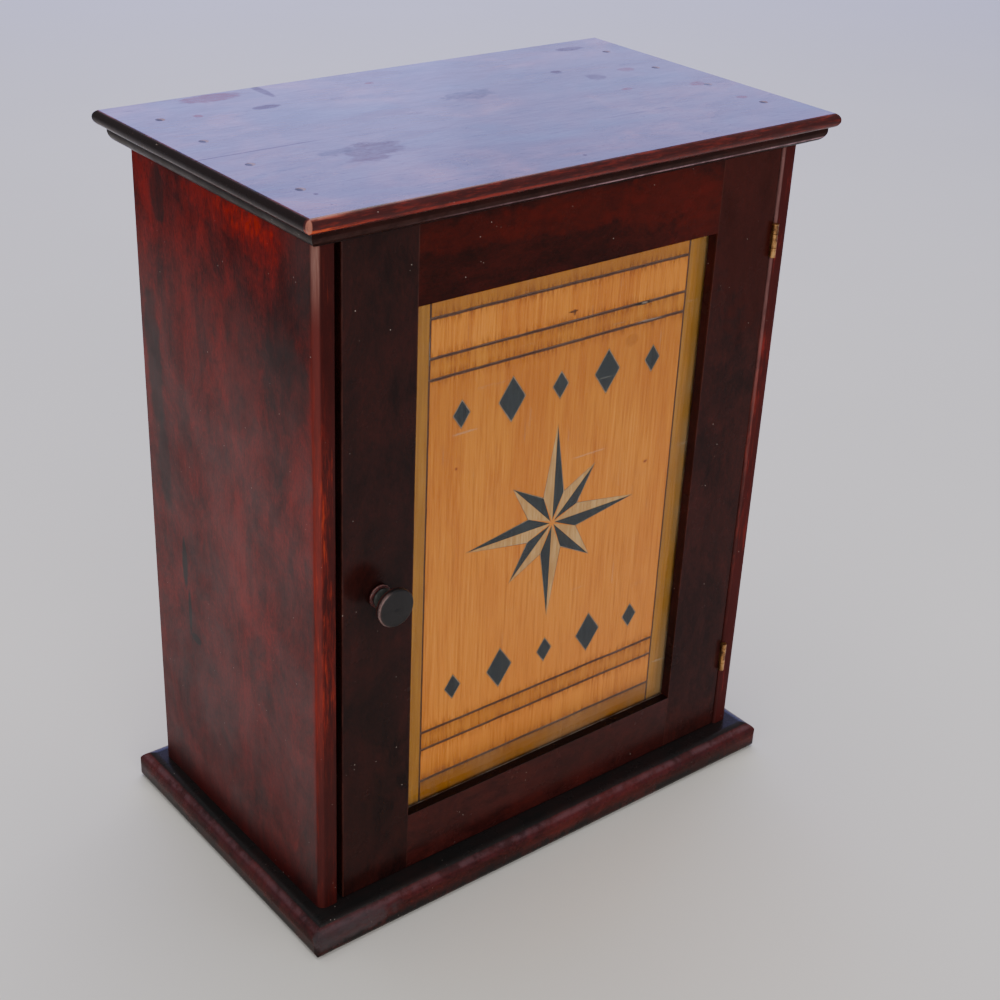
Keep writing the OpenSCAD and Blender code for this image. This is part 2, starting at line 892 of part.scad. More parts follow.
module hinge_screws_side() {
    color(brass) each_hinge_screw(side_in, -90) slotted_hinge_screw();
}

module hinge_screws_door() {
    color(brass) each_hinge_screw(door_right, 90) slotted_hinge_screw();
}

// Plan of a stile from its outer edge at 0 to its inner edge, face at 0
module stile_plan() {
    difference() {
        square([stile_w, door_t]);
        translate([stile_w - rebate_w, lip_t]) square([rebate_w + cut, door_t]);
        corner_off(0, 0, 1, 1, door_arris_r);
        corner_off(0, door_t, 1, -1, door_arris_r);
    }
}

// Tenons of the two rails, reaching into both stiles
module tenons(grow) {
    x = opening_left - rebate_w - tenon_l - grow;
    long = opening_right - opening_left + 2 * (rebate_w + tenon_l + grow);
    low = door_low + bottom_tenon_inset - grow;
    low_h = bottom_rail_h - rebate_w - bottom_tenon_inset - tenon_inset / 2 + 2 * grow;
    high = opening_high + rebate_w + tenon_inset / 2 - grow;
    high_h = top_rail_h - rebate_w - tenon_inset - tenon_inset / 2 + 2 * grow;
    translate([x, glass_front, low]) cube([long, tenon_t + grow, low_h]);
    translate([x, glass_front, high]) cube([long, tenon_t + grow, high_h]);
}

module stile_left() {
    color(dark_mahogany) difference() {
        translate([door_left, door_face, door_low]) linear_extrude(door_high - door_low) stile_plan();
        tenons(mortise_fit);
        each_bead_brad() brad(fastener_fit);
        translate([knob_x, door_rear + cut, knob_z]) rotate([90, 0, 0])
            cylinder(h = door_t + 2 * cut, r = stem_r + stem_fit);
    }
}

module stile_right() {
    color(dark_mahogany) difference() {
        translate([door_right, door_face, door_low]) mirror([1, 0, 0])
            linear_extrude(door_high - door_low) stile_plan();
        tenons(mortise_fit);
        each_bead_brad() brad(fastener_fit);
        for (z = [upper_hinge_z, lower_hinge_z]) {
            translate([door_right - leaf_t, pin_y, z - hinge_h / 2]) cube([leaf_t + cut, leaf_w, hinge_h]);
            knuckle_pocket(z);
        }
        each_hinge_screw(door_right, 90) hinge_screw(fastener_fit);
    }
}

// A rail whose outer edge is at z = outer and whose opening edge is at z = inner
module rail(outer, inner) {
    up = inner > outer;
    step = up ? -rebate_w : rebate_w;
    behind = opening_right - opening_left + 2 * rebate_w;
    color(dark_mahogany) difference() {
        union() {
            translate([opening_left, door_face, min(outer, inner)])
                cube([opening_right - opening_left, lip_t, abs(inner - outer)]);
            translate([opening_left - rebate_w, glass_front, min(outer, inner + step)])
                cube([behind, door_t - lip_t, abs(inner + step - outer)]);
            intersection() {
                tenons(0);
                translate([door_left, door_face, min(outer, inner + step)])
                    cube([door_right - door_left, door_t, abs(inner + step - outer)]);
            }
        }
        each_bead_brad() brad(fastener_fit);
    }
}

module rail_top() {
    rail(door_high, opening_high);
}

module rail_bottom() {
    rail(door_low, opening_low);
}

// The size of the rebate, less a gap all round
module pane(front, thick, gap) {
    translate([opening_left - rebate_w + gap, front, opening_low - rebate_w + gap])
        cube([opening_right - opening_left + 2 * (rebate_w - gap), thick,
            opening_high - opening_low + 2 * (rebate_w - gap)]);
}

module glass_pane() {
    color("lightblue", 0.3) pane(glass_front, glass_t, pane_gap);
}

// A V groove along X, or along Z when turned upright
module vee(long) {
    linear_extrude(long) polygon([[-groove_w / 2, -cut], [-groove_w / 2, 0], [0, groove_deep],
        [groove_w / 2, 0], [groove_w / 2, -cut]]);
}

module sign_panel() {
    far = opening_high - opening_low + 2 * rebate_w;
    color(amber) difference() {
        pane(sign_front, sign_t, pane_gap);
        for (x = [groove_left, groove_right])
            translate([x, sign_front, opening_low - rebate_w]) vee(far);
        for (z = [groove_1, groove_2, groove_3, groove_4, groove_5, groove_6])
            translate([groove_left, sign_front, z]) rotate([0, 90, 0]) vee(groove_right - groove_left);
        veneer(inlay_fit) star_halves(1, inlay_fit);
        veneer(inlay_fit) star_halves(-1, inlay_fit);
        veneer(inlay_fit) lozenge_rows(inlay_fit);
    }
}

// A triangle whose sides all move out by grow
module triangle(a, b, c, grow) {
    la = norm(c - b);
    lb = norm(a - c);
    lc = norm(b - a);
    middle = (la * a + lb * b + lc * c) / (la + lb + lc);
    inner_r = abs(cross(b - a, c - a)) / (la + lb + lc);
    k = 1 + grow / inner_r;
    polygon([for (p = [a, b, c]) middle + k * (p - middle)]);
}

// A lozenge whose sides all move out by grow
module lozenge(wide, high, grow) {
    k = 1 + grow * norm([wide, high]) * 2 / (wide * high);
    scale(k) polygon([[-wide / 2, 0], [0, -high / 2], [wide / 2, 0], [0, high / 2]]);
}

// One half of each ray of the star; side is 1 for the dark halves and -1 for
// the light ones
module star_halves(side, grow) {
    for (i = [0 : ray_count - 1])
        rotate(360 / ray_count * i)
            triangle([0, star_eye], star_waist * [side * sin(180 / ray_count), cos(180 / ray_count)],
                [0, i % 2 == 0 ? star_long : star_short], grow);
}

// A row of lozenges over the star and one under it
module lozenge_rows(grow) {
    for (s = [-1, 1], i = [0 : lozenge_count - 1]) {
        k = i % 2 == 0 ? lozenge_share : 1;
        translate([(i - (lozenge_count - 1) / 2) * lozenge_pitch, s * lozenge_row])
            lozenge(k * lozenge_w, k * lozenge_h, grow);
    }
}

// Veneer of an outline in the face of the panel, or the pocket that takes it
module veneer(grow) {
    translate([field_mid_x, sign_front + inlay_t + grow, field_mid_z]) rotate([90, 0, 0])
        linear_extrude(grow > 0 ? inlay_t + cut : inlay_t) children();
}

module sign_inlay_dark() {
    color(slate) {
        veneer(0) star_halves(1, 0);
        veneer(0) lozenge_rows(0);
    }
}

module sign_inlay_light() {
    color(holly) veneer(0) star_halves(-1, 0);
}

// The four beads as one mitred frame behind the panel
module bead_frame(a, b) {
    x = opening_left - rebate_w;
    z = opening_low - rebate_w;
    wide = opening_right - opening_left + 2 * rebate_w;
    high = opening_high - opening_low + 2 * rebate_w;
    color(dark_mahogany) difference() {
        translate([x, door_rear, z]) rotate([90, 0, 0]) linear_extrude(door_rear - bead_front)
            intersection() {
                difference() {
                    square([wide, high]);
                    translate([bead_w, bead_w]) square([wide - 2 * bead_w, high - 2 * bead_w]);
                }
                polygon([for (p = a) [p[0] * wide + p[1] * bead_w, p[2] * high + p[3] * bead_w]]);
            }
        each_bead_brad() brad(fastener_fit);
    }
}

module bead_left() {
    bead_frame([[0, 0, 0, 0], [0, 1, 0, 1], [0, 1, 1, -1], [0, 0, 1, 0]]);
}

module bead_right() {
    bead_frame([[1, 0, 0, 0], [1, 0, 1, 0], [1, -1, 1, -1], [1, -1, 0, 1]]);
}

module bead_bottom() {
    bead_frame([[0, 0, 0, 0], [1, 0, 0, 0], [1, -1, 0, 1], [0, 1, 0, 1]]);
}

module bead_top() {
    bead_frame([[0, 0, 1, 0], [0, 1, 1, -1], [1, -1, 1, -1], [1, 0, 1, 0]]);
}

module bead_brads() {
    color(steel) each_bead_brad() brad();
}

// Turned outline of the knob: radius against distance from the door face
module knob_outline() {
    bead_top = latch_gap + 2 * knob_bead_r;
    cove_low = bead_top + knob_fillet_h;
    head_low = knob_reach - knob_head_t;
    cove_high = head_low - knob_fillet_h;
    cove_mid = cove_low + knob_cove_share * (cove_high - cove_low);
    cove_r = cove_high - cove_mid;
    flare_out = knob_r - knob_back_r;
    // bead at the foot, and the fillet over it
    translate([knob_foot_r - knob_bead_r, latch_gap + knob_bead_r]) circle(r = knob_bead_r);
    translate([0, latch_gap]) square([knob_foot_r - knob_bead_r, 2 * knob_bead_r]);
    translate([0, latch_gap]) square([knob_fillet_r, cove_low - latch_gap]);
    // cove that flares out to the fillet under the head
    difference() {
        translate([0, cove_low]) square([flare_out, cove_high - cove_low]);
        translate([knob_neck_r + cove_r, cove_mid]) circle(r = cove_r);
    }
    translate([0, cove_high]) square([flare_out, knob_fillet_h]);
    // head, rounded at its back and at its face
    face_low = knob_reach - knob_dome;
    translate([flare_out, head_low + knob_back_r]) circle(r = knob_back_r);
    translate([0, head_low]) square([flare_out, face_low - head_low]);
    translate([0, head_low + knob_back_r])
        square([knob_r, knob_head_t - knob_back_r - knob_dome - knob_edge_r]);
    translate([knob_r - knob_edge_r, face_low - knob_edge_r]) circle(r = knob_edge_r);
    translate([0, head_low + knob_back_r]) square([knob_r - knob_edge_r, face_low - head_low - knob_back_r]);
    dome_half = knob_r - knob_edge_r;
    dome_r = (dome_half * dome_half + knob_dome * knob_dome) / (2 * knob_dome);
    intersection() {
        translate([0, knob_reach - dome_r]) circle(r = dome_r, $fn = 128);
        translate([0, head_low + knob_back_r]) square([dome_half, knob_reach]);
    }
}

module knob() {
    stem_l = latch_rear - door_face - stem_short;
    color(dark_mahogany) translate([knob_x, door_face, knob_z]) difference() {
        union() {
            rotate([90, 0, 0]) rotate_extrude() knob_outline();
            rotate([-90, 0, 0]) translate([0, 0, -stem_root]) cylinder(h = stem_l + stem_root, r = stem_r);
        }
        translate([0, latch_rear - door_face, 0]) rotate([-90, 0, 0])
            latch_screw_shape(fastener_fit);
    }
}

// Wooden tongue on the end of the stem, hanging straight down when it is free
module latch_tongue() {
    color(mahogany) translate([knob_x, 0, knob_z]) difference() {
        union() {
            translate([0, latch_hub_front, 0]) rotate([-90, 0, 0])
                cylinder(h = latch_rear - latch_hub_front, r = hub_r);
            translate([-latch_w / 2, latch_front, -latch_reach + latch_w / 2])
                cube([latch_w, latch_t, latch_reach - latch_w / 2]);
            translate([0, latch_front, -latch_reach + latch_w / 2]) rotate([-90, 0, 0])
                cylinder(h = latch_t, r = latch_w / 2);
        }
        translate([0, door_face, 0]) rotate([-90, 0, 0])
            cylinder(h = 2 * door_t + latch_t, r = stem_r + fastener_fit);
    }
}

// Round-headed screw that holds the tongue on the stem; its head is at z = 0
module latch_screw_shape(grow = 0) {
    translate([0, 0, grow]) cylinder(h = latch_head_t, r = latch_head_r);
    translate([0, 0, -latch_screw_l - grow])
        cylinder(h = latch_screw_l + 2 * grow, r = latch_screw_r + grow);
}

module latch_screw() {
    color(steel) translate([knob_x, latch_rear, knob_z]) rotate([-90, 0, 0]) difference() {
        latch_screw_shape();
        translate([0, 0, latch_head_t]) head_slot(latch_head_r, latch_head_t * slot_depth);
    }
}

base_board();
side_left();
side_right();
header_rail();
top_board_front();
top_board_rear();
bed_mould_front();
bed_mould_rear();
bed_mould_left();
bed_mould_right();
back_board_left();
back_board_middle();
back_board_right();
shelf_1();
shelf_2();
shelf_3();
shelf_4();
shelf_5();
divider_left();
divider_middle();
divider_right();
door_stop();
stop_brads();
top_screws();
top_plugs();
base_screws();
back_nails();
hinge_leaf_side_upper();
hinge_leaf_side_lower();
hinge_pin_upper();
hinge_pin_lower();
hinge_screws_side();
stile_left();
stile_right();
rail_top();
rail_bottom();
glass_pane();
sign_panel();
sign_inlay_dark();
sign_inlay_light();
bead_left();
bead_right();
bead_top();
bead_bottom();
bead_brads();
hinge_leaf_door_upper();
hinge_leaf_door_lower();
hinge_screws_door();
knob();
latch_tongue();
latch_screw();
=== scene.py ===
"""Looks of the old dye cabinet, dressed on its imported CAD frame.

Every wooden, glass and metal piece of the frame keeps its own solid and gets a
finish, and most of the plain boards get softened arrises. The thin lines round
the inlay are new meshes. All sizes are in metres, in the frame of the CAD model.
"""
from __future__ import annotations

import logging
import math
from collections.abc import Callable, Iterable
from dataclasses import dataclass
from enum import Enum
from functools import reduce
from typing import Protocol

import bmesh
import bpy
from mathutils import Matrix, Vector


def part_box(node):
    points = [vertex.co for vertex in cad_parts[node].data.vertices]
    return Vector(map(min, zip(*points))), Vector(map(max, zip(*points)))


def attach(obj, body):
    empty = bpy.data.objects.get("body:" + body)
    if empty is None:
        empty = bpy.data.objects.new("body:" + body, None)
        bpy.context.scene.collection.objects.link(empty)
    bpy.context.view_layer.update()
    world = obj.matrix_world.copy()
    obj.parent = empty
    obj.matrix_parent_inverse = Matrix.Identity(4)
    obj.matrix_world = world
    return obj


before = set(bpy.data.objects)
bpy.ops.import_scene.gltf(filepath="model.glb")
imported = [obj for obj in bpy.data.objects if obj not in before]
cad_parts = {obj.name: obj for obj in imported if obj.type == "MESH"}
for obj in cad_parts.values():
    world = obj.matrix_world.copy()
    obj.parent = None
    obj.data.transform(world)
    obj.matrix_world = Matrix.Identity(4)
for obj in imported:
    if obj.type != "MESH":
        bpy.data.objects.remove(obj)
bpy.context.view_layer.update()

LOG = logging.getLogger("dye_cabinet")
MM = 0.001
ARRIS = 0.5 * MM
FINE_ARRIS = 0.3 * MM
ARRIS_FACES = 2
SHARP = math.radians(40.0)
WELD = 0.001 * MM
STEEL = ((0.3, 0.28, 0.26), (0.09, 0.06, 0.045), 0.5)
SEED_STEPS = (1.0, 1.7, 0.6)
# Sockets of the node that mixes colours, by their numbers.
FACTOR, UNDER, OVER, MIXED = 0, 6, 7, 2

Colour = tuple[float, float, float]
Socket = bpy.types.NodeSocket


class Axis(Enum):
    """A coordinate, or the direction in which the grain of a board runs."""

    X = 0
    Y = 1
    Z = 2


X, Y, Z = Axis


class Blend(Enum):
    """How one colour is laid over another."""

    MIX = "MIX"
    MULTIPLY = "MULTIPLY"


class Finish(Protocol):
    """Any finish: it has a name and builds one material."""

    name: str

    def build(self) -> bpy.types.Material:
        """Build the material."""


@dataclass(frozen=True)
class Spot:
    """A worn or stained patch on a piece, or a patch of painted reflection."""

    centre: Colour
    reach: Colour
    colour: Colour = (0.0, 0.0, 0.0)
    amount: float = 0.7
    ragged: float = 0.35
    broken: float = 0.0


def spots_on(across: Axis, level: float, depth: float, rows: Iterable[tuple]) -> tuple[Spot, ...]:
    """Set patches on a flat face.

    Args:
        across: axis that the face lies across.
        level: where the face lies on that axis.
        depth: half the depth of the patches.
        rows: for each patch its place and half size on the two other axes, in
            millimetres, then its colour, amount, raggedness and how broken it is.

    Returns:
        The patches.
    """
    spots = []
    for first, second, wide, tall, *look in rows:
        centre, reach = [first * MM, second * MM], [wide * MM, tall * MM]
        centre.insert(across.value, level)
        reach.insert(across.value, depth)
        spots.append(Spot(tuple(centre), tuple(reach), *look))
    return tuple(spots)


class Graph:
    """Builds the nodes of one material, all on Object coordinates."""

    def __init__(self, name: str) -> None:
        """Start a material with a shader and an output.

        Args:
            name: name of the material.
        """
        self.material = bpy.data.materials.new(name)
        self.material.use_nodes = True
        self.tree = self.material.node_tree
        self.tree.nodes.clear()
        self.shader = self.node("ShaderNodeBsdfPrincipled")
        self.output = self.node("ShaderNodeOutputMaterial", {"Surface": self.shader.outputs["BSDF"]})
        self.place = self.node("ShaderNodeTexCoord").outputs["Object"]

    def node(self, kind: str, feeds: dict[str | int, object] | None = None, **settings: object) -> bpy.types.Node:
        """Add a node, set its own properties and feed its inputs.

        Args:
            kind: type name of the node.
            feeds: what goes into each input, by its name or number.
            settings: properties of the node.

        Returns:
            The new node.
        """
        made = self.tree.nodes.new(kind)
        for key, value in settings.items():
            setattr(made, key, value)
        for key, value in (feeds or {}).items():
            self.feed(made.inputs[key], value)
        return made

    def feed(self, target: Socket, value: object) -> None:
        """Link a socket to an input, or set the input to a plain value.

        Args:
            target: the input.
            value: a socket, a number or a colour.
        """
        if isinstance(value, bpy.types.NodeSocket):
            self.tree.links.new(value, target)
        elif isinstance(value, tuple) and target.type == "RGBA":
            target.default_value = (*value, 1)
        else:
            target.default_value = value

    def mapped(self, scale: Colour = (1, 1, 1), shift: Colour = (0, 0, 0), turn: Colour = (0, 0, 0)) -> Socket:
        """Give Object coordinates, stretched, moved, and turned by so many radians."""
        feeds = {"Vector": self.place, "Scale": scale, "Location": shift, "Rotation": turn}
        return self.node("ShaderNodeMapping", feeds).outputs["Vector"]

    def noise(self, vector: Socket, scale: float, detail: float = 3.0, rough: float = 0.55,
              warp: float = 0.0) -> Socket:
        """Add a noise texture; the scale is in features per metre, the detail in octaves."""
        feeds = {"Vector": vector, "Scale": scale, "Detail": detail, "Roughness": rough, "Distortion": warp}
        return self.node("ShaderNodeTexNoise", feeds).outputs["Fac"]

    def grained(self, grain: Axis, along: float, scale: float, detail: float, rough: float, warp: float = 0.0,
                seed: float = 0.0) -> Socket:
        """Add a noise texture that is drawn out along the grain.

        Args:
            grain: direction of the grain.
            along: factor on the coordinate along the grain.
            scale: features per metre across the grain.
            detail: number of octaves.
            rough: how strong the finer octaves are.
            warp: how much the noise bends itself.
            seed: where in the pattern the piece lies.

        Returns:
            The noise value, 0 to 1.
        """
        stretch = [1, 1, 1]
        stretch[grain.value] = along
        shift = tuple(seed * step for step in SEED_STEPS)
        return self.noise(self.mapped(tuple(stretch), shift), scale, detail, rough, warp)

    def maths(self, operation: str, *values: object, clamp: bool = False) -> Socket:
        """Combine sockets or numbers by an operation; a clamped result stays between 0 and 1."""
        made = self.node("ShaderNodeMath", dict(enumerate(values)), operation=operation, use_clamp=clamp)
        return made.outputs[0]

    def times(self, *values: object) -> Socket:
        """Multiply masks and numbers with one another."""
        return reduce(lambda total, value: self.maths("MULTIPLY", total, value), values)

    def most(self, *values: object) -> Socket:
        """Give the largest of several masks."""
        return reduce(lambda total, value: self.maths("MAXIMUM", total, value), values)

    def mixed(self, *parts: tuple[Socket, float]) -> Socket:
        """Add values up, each by its share."""
        return reduce(lambda total, value: self.maths("ADD", total, value), [self.times(*part) for part in parts])

    def ease(self, value: Socket, low: float, high: float, to_low: float = 0.0, to_high: float = 1.0) -> Socket:
        """Map a value smoothly, low to to_low and high to to_high."""
        feeds = {"Value": value, "From Min": low, "From Max": high, "To Min": to_low, "To Max": to_high}
        return self.node("ShaderNodeMapRange", feeds, interpolation_type="SMOOTHSTEP").outputs["Result"]

    def axis(self, axis: Axis) -> Socket:
        """Give one Object coordinate."""
        return self.node("ShaderNodeSeparateXYZ", {0: self.place}).outputs[axis.value]

    def fade(self, axis: Axis, low: float, high: float, to_low: float = 0.0, to_high: float = 1.0) -> Socket:
        """Map one Object coordinate smoothly, low to to_low and high to to_high."""
        return self.ease(self.axis(axis), low, high, to_low, to_high)

    def within(self, axis: Axis, low: float, high: float, soft: float) -> Socket:
        """Make a band between two coordinates with soft ends."""
        return self.times(self.fade(axis, low - soft, low), self.fade(axis, high + soft, high))

    def stroke(self, axis: Axis, place: float, half: float, soft: float, wander: float = 0.0) -> Socket:
        """Make a thin line across one coordinate.

        Args:
            axis: coordinate that the line lies across.
            place: where the line lies.
            half: half its width.
            soft: width over which it fades.
            wander: how far it strays to either side.

        Returns:
            A mask, 1 on the line.
        """
        value = self.axis(axis)
        if wander:
            stray = self.noise(self.place, 45, 3, 0.6)
            value = self.maths("ADD", value, self.maths("MULTIPLY_ADD", stray, wander * 2, -wander))
        return self.ease(self.maths("ABSOLUTE", self.maths("SUBTRACT", value, place)), half + soft, half)

    def spot(self, spot: Spot, scale: float = 90.0) -> Socket:
        """Make the mask of a soft ragged patch.

        Args:
            spot: the patch.
            scale: fineness of the noise that breaks its edge.

        Returns:
            A mask, 1 in the middle and 0 outside.
        """
        inverse = tuple(1 / value for value in spot.reach)
        shift = tuple(-value * factor for value, factor in zip(spot.centre, inverse))
        length = self.node("ShaderNodeVectorMath", {0: self.mapped(inverse, shift)}, operation="LENGTH")
        edge = self.maths("MULTIPLY_ADD", self.noise(self.place, scale, 4, 0.6), spot.ragged * 2, -spot.ragged)
        return self.ease(self.maths("ADD", length.outputs["Value"], edge), 1.15, 0.75)

    def layer(self, under: object, over: object, *amounts: object, blend: Blend = Blend.MIX) -> Socket:
        """Lay one colour over another, as strongly as the product of the masks and numbers says."""
        feeds = {FACTOR: self.times(*amounts), UNDER: under, OVER: over}
        return self.node("ShaderNodeMix", feeds, data_type="RGBA", blend_type=blend.value).outputs[MIXED]

    def layers(self, colour: object, *rows: tuple, blend: Blend = Blend.MIX) -> Socket:
        """Lay several colours over one another.

        Args:
            colour: colour or socket at the bottom.
            rows: for each layer its colour, then its masks and numbers.
            blend: how they are combined.

        Returns:
            The resulting colour.
        """
        for over, *amounts in rows:
            colour = self.layer(colour, over, *amounts, blend=blend)
        return colour

    def ramp(self, value: Socket, stops: tuple[tuple[float, Colour], ...]) -> Socket:
        """Turn a value into a colour.

        Args:
            value: what is looked up.
            stops: position and colour of each stop.

        Returns:
            The colour.
        """
        made = self.node("ShaderNodeValToRGB", {"Fac": value})
        made.color_ramp.interpolation = "B_SPLINE"
        while len(made.color_ramp.elements) < len(stops):
            made.color_ramp.elements.new(0.5)
        for element, (position, colour) in zip(made.color_ramp.elements, stops):
            element.position = position
            element.color = (*colour, 1)
        return made.outputs["Color"]

    def bump(self, height: Socket, distance: float, strength: float = 1.0, under: Socket | None = None) -> Socket:
        """Turn a height into a normal.

        Args:
            height: height value, 0 to 1.
            distance: real height of 1, in metres.
            strength: how much of it is used.
            under: normal it is laid over.

        Returns:
            The normal.
        """
        feeds = {"Height": height, "Distance": distance, "Strength": strength}
        if under is not None:
            feeds["Normal"] = under
        return self.node("ShaderNodeBump", feeds).outputs["Normal"]

    def finish(self, colour: object, rough: object, normal: Socket | None = None,
               **more: object) -> bpy.types.Material:
        """Feed the shader.

        Args:
            colour: base colour.
            rough: roughness.
            normal: bumped normal.
            more: further inputs of the shader, spaces written as underscores.

        Returns:
            The finished material.
        """
        for key, value in {"Base_Color": colour, "Roughness": rough, "Normal": normal, **more}.items():
            if value is not None:
                self.feed(self.shader.inputs[key.replace("_", " ")], value)
        return self.material


@dataclass(frozen=True)
class Arris:
    """A thin rubbed line along an edge or a joint."""

    axis: Axis
    place: float
    colour: Colour = (0.1, 0.03, 0.022)
    amount: float = 0.35
    half: float = 0.0002
    front: float = -0.087


@dataclass(frozen=True)
class Shellac:
    """Mahogany-stained wood under an old shellac with streaks and blotches."""

    name: str
    grain: Axis
    deep: Colour = (0.018, 0.004, 0.004)
    body: Colour = (0.085, 0.012, 0.009)
    bright: Colour = (0.25, 0.03, 0.012)
    figure: float = 1.0
    rough: float = 0.3
    gleam: float = 0.2
    seed: float = 0.0
    spots: tuple[Spot, ...] = ()
    dust: float = 0.35
    stain: float = 0.5
    lines: tuple[Arris, ...] = ()

    def noise(self, graph: Graph, along: float, scale: float, detail: float, rough: float,
              warp: float = 0.0) -> Socket:
        """Add a noise texture drawn out along this piece's grain; the values are those of Graph.grained."""
        return graph.grained(self.grain, along, scale, detail, rough, warp, self.seed)

    def wood(self, graph: Graph) -> Socket:
        """Build the colour of the stained wood.

        Args:
            graph: the material being built.

        Returns:
            The colour.
        """
        broad = self.noise(graph, 0.6, 30, 9, 0.74, 0.6)
        streak = self.noise(graph, 0.16, 210, 5, 0.68)
        fine = self.noise(graph, 0.45, 900, 4, 0.7)
        tone = graph.mixed((broad, 0.6), (streak, 0.15), (fine, 0.25))
        middle = 0.5
        tone = graph.maths("MULTIPLY_ADD", graph.maths("SUBTRACT", tone, middle), 2.1 * self.figure, middle)
        colour = graph.ramp(tone, ((0.2, self.deep), (0.5, self.body), (0.85, self.bright)))
        cloud = self.noise(graph, 0.5, 34, 6, 0.72, 0.3)
        return graph.layer(colour, tuple(c * 0.7 for c in self.deep), graph.ease(cloud, 0.54, 0.68), self.stain)

    def marked(self, graph: Graph, colour: Socket) -> Socket:
        """Lay the piece's own patches and rubbed lines over its colour.

        Args:
            graph: the material being built.
            colour: colour below.

        Returns:
            The colour with its patches.
        """
        for spot in self.spots:
            masks = [graph.spot(spot), spot.amount]
            if spot.broken:
                breaks = self.noise(graph, 0.4, 260, 6, 0.75)
                masks.append(graph.ease(breaks, 0.4, 0.62, 1 - spot.broken, 1))
            colour = graph.layer(colour, spot.colour, *masks)
        for line in self.lines:
            along = graph.ease(graph.noise(graph.place, 60, 4, 0.65), 0.38, 0.62, 0.25, 1)
            face = graph.fade(Y, line.front + 0.0012, line.front + 0.0005)
            stroke = graph.stroke(line.axis, line.place, line.half, 0.0004)
            colour = graph.layer(colour, line.colour, stroke, along, face, line.amount)
        return colour

    def dusted(self, graph: Graph, colour: Socket) -> Socket:
        """Lay sparse pale specks of dust over a colour.

        Args:
            graph: the material being built.
            colour: colour below.

        Returns:
            The dusty colour.
        """
        near = graph.node("ShaderNodeTexVoronoi", {"Vector": graph.place, "Scale": 230}).outputs["Distance"]
        gate = graph.ease(graph.noise(graph.place, 70, 2), 0.56, 0.62)
        return graph.layer(colour, (0.6, 0.52, 0.46), graph.ease(near, 0.085, 0.05), gate, self.dust)

    def relief(self, graph: Graph) -> Socket:
        """Build the uneven surface: pores, brush marks and dents."""
        pores = graph.bump(self.noise(graph, 0.03, 1700, 3, 0.7), 0.00006, 0.5)
        return graph.bump(self.noise(graph, 0.25, 40, 3, 0.5), 0.0009, 0.35, pores)

    def gloss(self, graph: Graph) -> Socket:
        """Build the roughness: a film that is duller in patches."""
        cloud = graph.noise(graph.mapped(shift=(self.seed, 3, 1)), 38, 5, 0.65)
        return graph.ease(cloud, 0.3, 0.7, self.rough * 0.8, self.rough * 1.35)

    def painted(self, graph: Graph) -> Socket:
        """Build the colour under the dust."""
        return self.marked(graph, self.wood(graph))

    def build(self) -> bpy.types.Material:
        """Build the material."""
        graph = Graph(self.name)
        return graph.finish(self.dusted(graph, self.painted(graph)), self.gloss(graph), self.relief(graph),
                            Specular_IOR_Level=self.gleam)


